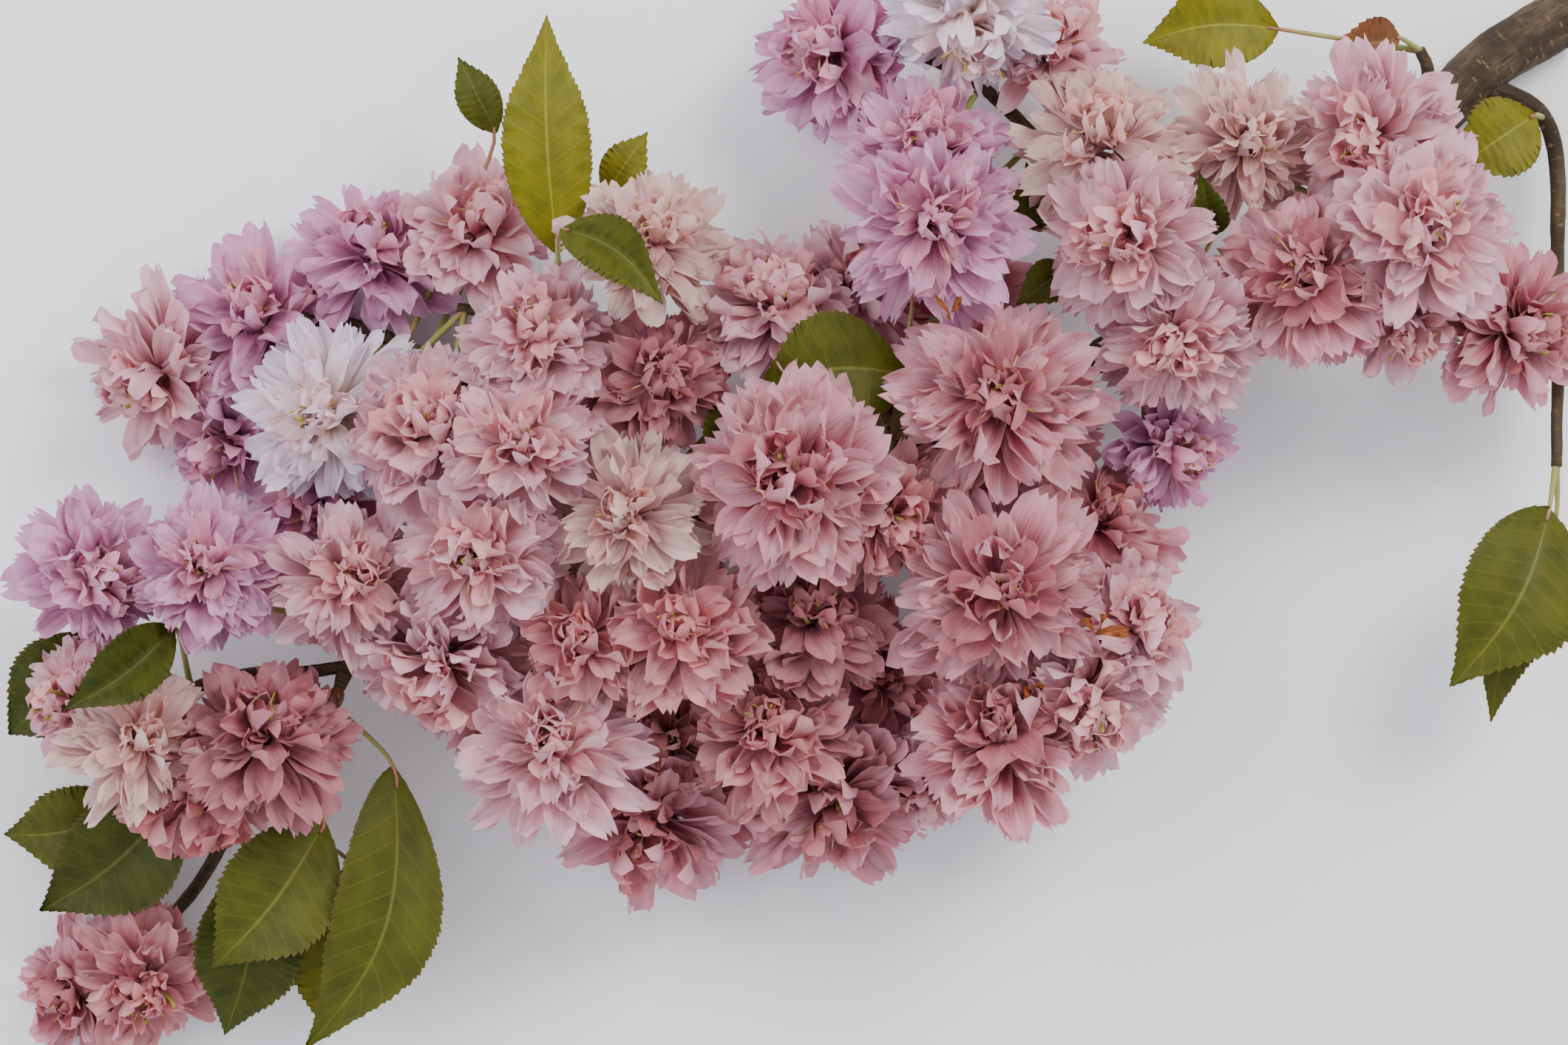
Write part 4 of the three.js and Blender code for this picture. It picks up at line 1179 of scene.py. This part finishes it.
def petals_of(name, number, count, spread):
    """A bloom's petals as one mesh, drawn in where the blooms round it press on them."""
    bloom = every_place[number]
    others = [other for other in every_place if other is not bloom]
    radius, tone = bloom[3] / 2 * MM, bloom[6]
    outer, middle, inner = petal_finishes[tone]
    if tone == "pink":  # the rosiest hearts, darkened further by painted shade, are in the pink blooms
        inner = petal_finishes["rose"][2]
    mesh, points = whorl_on(name, bloom, petal_shapes, (outer, middle, inner), {
        "Count": count, "Outer length": spread * radius, "Inner length": 0.72 * radius,
        "Outer lean": 1.52, "Inner lean": 0.2, "Foot radius": 0.13 * radius,
        "Foot low": -0.48 * radius, "Foot high": -0.1 * radius,
        "Breadth": 0.8 if tone in ("white", "cream") else 1.0 + 0.1 * math.sin(5.0 * number),
        "Crumple": 1.8 * MM, "Crumple size": 5.2 * MM, "Kinds": PETAL_KINDS,
        "Seed": PETAL_SEED + number,
    })
    set_places(mesh, pressed(points, bloom, others))
    return mesh


SLOT_OF_NODE = {part["node"]: part["material_slot"] for part in frame["record"]["subparts"]}
large_names = [f"{spray}_{place}" for spray in BLOOMS for place in range(1, len(BLOOMS[spray]) + 1)]
for number, name in enumerate(large_names):
    node = f"bloom_{name}"
    mesh = petals_of(node, number, LARGE_COUNT, LARGE_SPREAD)
    as_piece(f"petals_{name}", mesh, SLOT_OF_NODE[node], node)
clustered_meshes = {}
for number in range(len(large_names), len(EVERY_BLOOM)):
    mesh = petals_of("clustered", number, SMALL_COUNT, SMALL_SPREAD)
    clustered_meshes.setdefault(every_place[number][6], []).append(mesh)
for tone, meshes in clustered_meshes.items():
    slot = "petal_pale" if tone == "shell" else "petal_pink"
    as_piece(f"clustered_petals_{tone}", joined(f"clustered_{tone}", meshes), slot, *SPRAY_NODES)

# The stamens: a few thin filaments with dusty tips round one or two small leafy green carpels,
# deep in the middle of each bloom.
STAMEN_TILES, STAMEN_SEED = (3, 1), 301
stamen_shapes = shape_library("stamen_shape", [
    (petal_sheet(*shape), tile(column, 0, *STAMEN_TILES)) for column, shape in enumerate([
        (0.017, 0.95, 1.0, (0.02,) * 7, 0.1, 0.5, 0.5, 0, 0.2),
        (0.015, 0.95, 1.0, (0.02,) * 7, 0.2, -0.9, 0.5, 0, -0.4),
        (0.042, 0.35, 0.3, (0,) * 7, 0.1, -0.3, 0.7, 0.03, 0.3),
    ])
])


def stamen_finish():
    """Cream filaments with yellow tips in two parts of the map, and green carpels in the third."""
    material, tree, shader = new_finish("stamen", 0.6, 0.2)
    u, v = tile_chart(tree, *STAMEN_TILES)
    streaks = noise(tree, vector_of(tree, times(tree, u, 8.0), v), 2.0, 3.0)
    filament = ramp(tree, v, [
        (0.0, (206, 150, 140)), (0.8, (228, 206, 176)), (0.88, (204, 172, 96)), (1.0, (170, 132, 66)),
    ])
    carpel = ramp(tree, v, [(0.0, (146, 150, 84)), (0.6, (138, 138, 60)), (1.0, (168, 160, 74))])
    in_third = calc(tree, "GREATER_THAN", chart_of(tree)[0], 2 / 3)
    colour = blend(tree, in_third, filament, carpel)
    colour = tinted(tree, colour, streaks, [(0.4, 0.0), (0.75, 0.5)], (150, 120, 70))
    dress(tree, shader, colour, streaks)
    return material


def stamen_values(number, radius):
    return {
        "Count": 10, "Outer length": 0.72 * radius, "Inner length": 0.62 * radius,
        "Outer lean": 0.5, "Inner lean": 0.05, "Foot radius": 0.06 * radius,
        "Foot low": -0.15 * radius, "Foot high": -0.05 * radius, "Crumple": 0.6 * MM,
        "Seed": STAMEN_SEED + number,
    }


stamen_mesh = whorls("stamens", every_place, stamen_shapes, stamen_finish(), stamen_values)
as_piece("stamens", stamen_mesh, "stamen", *SPRAY_NODES)

# The withered bits: a few petals that have dried to rust-brown curls among the fresh ones.
WITHERED = [  # x, y, z, width, tilt off the vertical, clock direction of the tilt
    (64, -23, 67, 16, 50, 20), (50, -34, 61, 12, 60, 280), (34, 43, 68, 10, 40, 120),
]
WITHERED_SEED = 401


def withered_finish():
    """Dry papery tissue in rust and straw, with dark lengthwise veins."""
    material, tree, shader = new_finish("withered_petal", 0.8, 0.15)
    u, v = tile_chart(tree, *PETAL_TILES)
    veins = noise(tree, vector_of(tree, times(tree, u, 12.0), times(tree, v, 3.0)), 1.2, 4.0)
    colour = ramp(tree, veins, [(0.35, (92, 44, 24)), (0.5, (150, 78, 40)), (0.7, (190, 128, 82))])
    dress(tree, shader, colour, veins, 0.5, 0.2)
    let_light_through(tree, shader, colour, 0.25)
    return material


def withered_values(number, length):
    return {
        "Count": 3, "Outer length": length, "Inner length": 0.8 * length, "Outer lean": 0.7,
        "Inner lean": 0.2, "Foot radius": 0.5 * MM, "Breadth": 0.8, "Crumple": 3 * MM,
        "Crumple size": 4 * MM, "Kinds": PETAL_KINDS, "Seed": WITHERED_SEED + number,
    }


withered_mesh = whorls(
    "withered_petals", WITHERED, petal_shapes, withered_finish(), withered_values, press=False
)
as_piece("withered_petals", withered_mesh, "petal_pink", *SPRAY_NODES)

# The studio: a plain pale floor that the branch lies on, soft light from overhead and from the
# upper right, and the camera straight above, as the photograph looks at the blossom.
PHOTO_WIDTH = 2121  # pixels
PIXEL = 0.155  # millimetres of the layout that one pixel of the photograph spans
VIEW_HEIGHT = 1000.0  # the camera's height over the blossom's middle layer
MIDDLE_LAYER = 50.0


def floor_finish():
    """A matt pale sweep of paper."""
    material, tree, shader = new_finish("pale_floor", 0.9, 0.1)
    grain = noise(tree, add(tree, "ShaderNodeTexCoord").outputs["Object"], 60.0)
    colour = blend(tree, grain, light_of(238, 240, 245), light_of(243, 244, 247))
    tree.links.new(colour, shader.inputs["Base Color"])
    return material


FLOOR_HALF = 3.0  # metres, as are the places and sizes of the lights
BRANCH_MIDDLE = Vector((0, 0, 0.03))
floor_mesh = bpy.data.meshes.new("floor")
corners = [(FLOOR_HALF * x, FLOOR_HALF * y, 0) for x, y in ((-1, -1), (1, -1), (1, 1), (-1, 1))]
floor_mesh.from_pydata(corners, [], [(0, 1, 2, 3)])
floor_mesh.materials.append(floor_finish())
floor = in_scene("floor", floor_mesh)


def area_light(name, place, size, power, colour):
    """A square soft light aimed at the middle of the branch."""
    lamp = bpy.data.lights.new(name, "AREA")
    lamp.size, lamp.energy, lamp.color = size, power, colour
    made = in_scene(name, lamp)
    made.location = place
    made.rotation_euler = (BRANCH_MIDDLE - made.location).to_track_quat("-Z", "Y").to_euler()


area_light("key", (0.55, 0.6, 0.9), size=0.45, power=11, colour=(1.0, 0.96, 0.91))
area_light("fill", (-0.8, 0.35, 0.9), size=0.9, power=10, colour=(0.95, 0.93, 1.0))
world = bpy.data.worlds.new("studio")
world.use_nodes = True
background = world.node_tree.nodes["Background"]
background.inputs["Color"].default_value = (0.93, 0.95, 1.0, 1.0)
background.inputs["Strength"].default_value = 1.15
bpy.context.scene.world = world

lens = bpy.data.cameras.new("camera")
lens.sensor_fit = "HORIZONTAL"
lens.angle = 2 * math.atan(PHOTO_WIDTH * PIXEL / 2 / VIEW_HEIGHT)
camera = in_scene("camera", lens)
camera.location = placed((0, 0, MIDDLE_LAYER + VIEW_HEIGHT))
bpy.context.scene.camera = camera

bpy.context.view_layer.update()
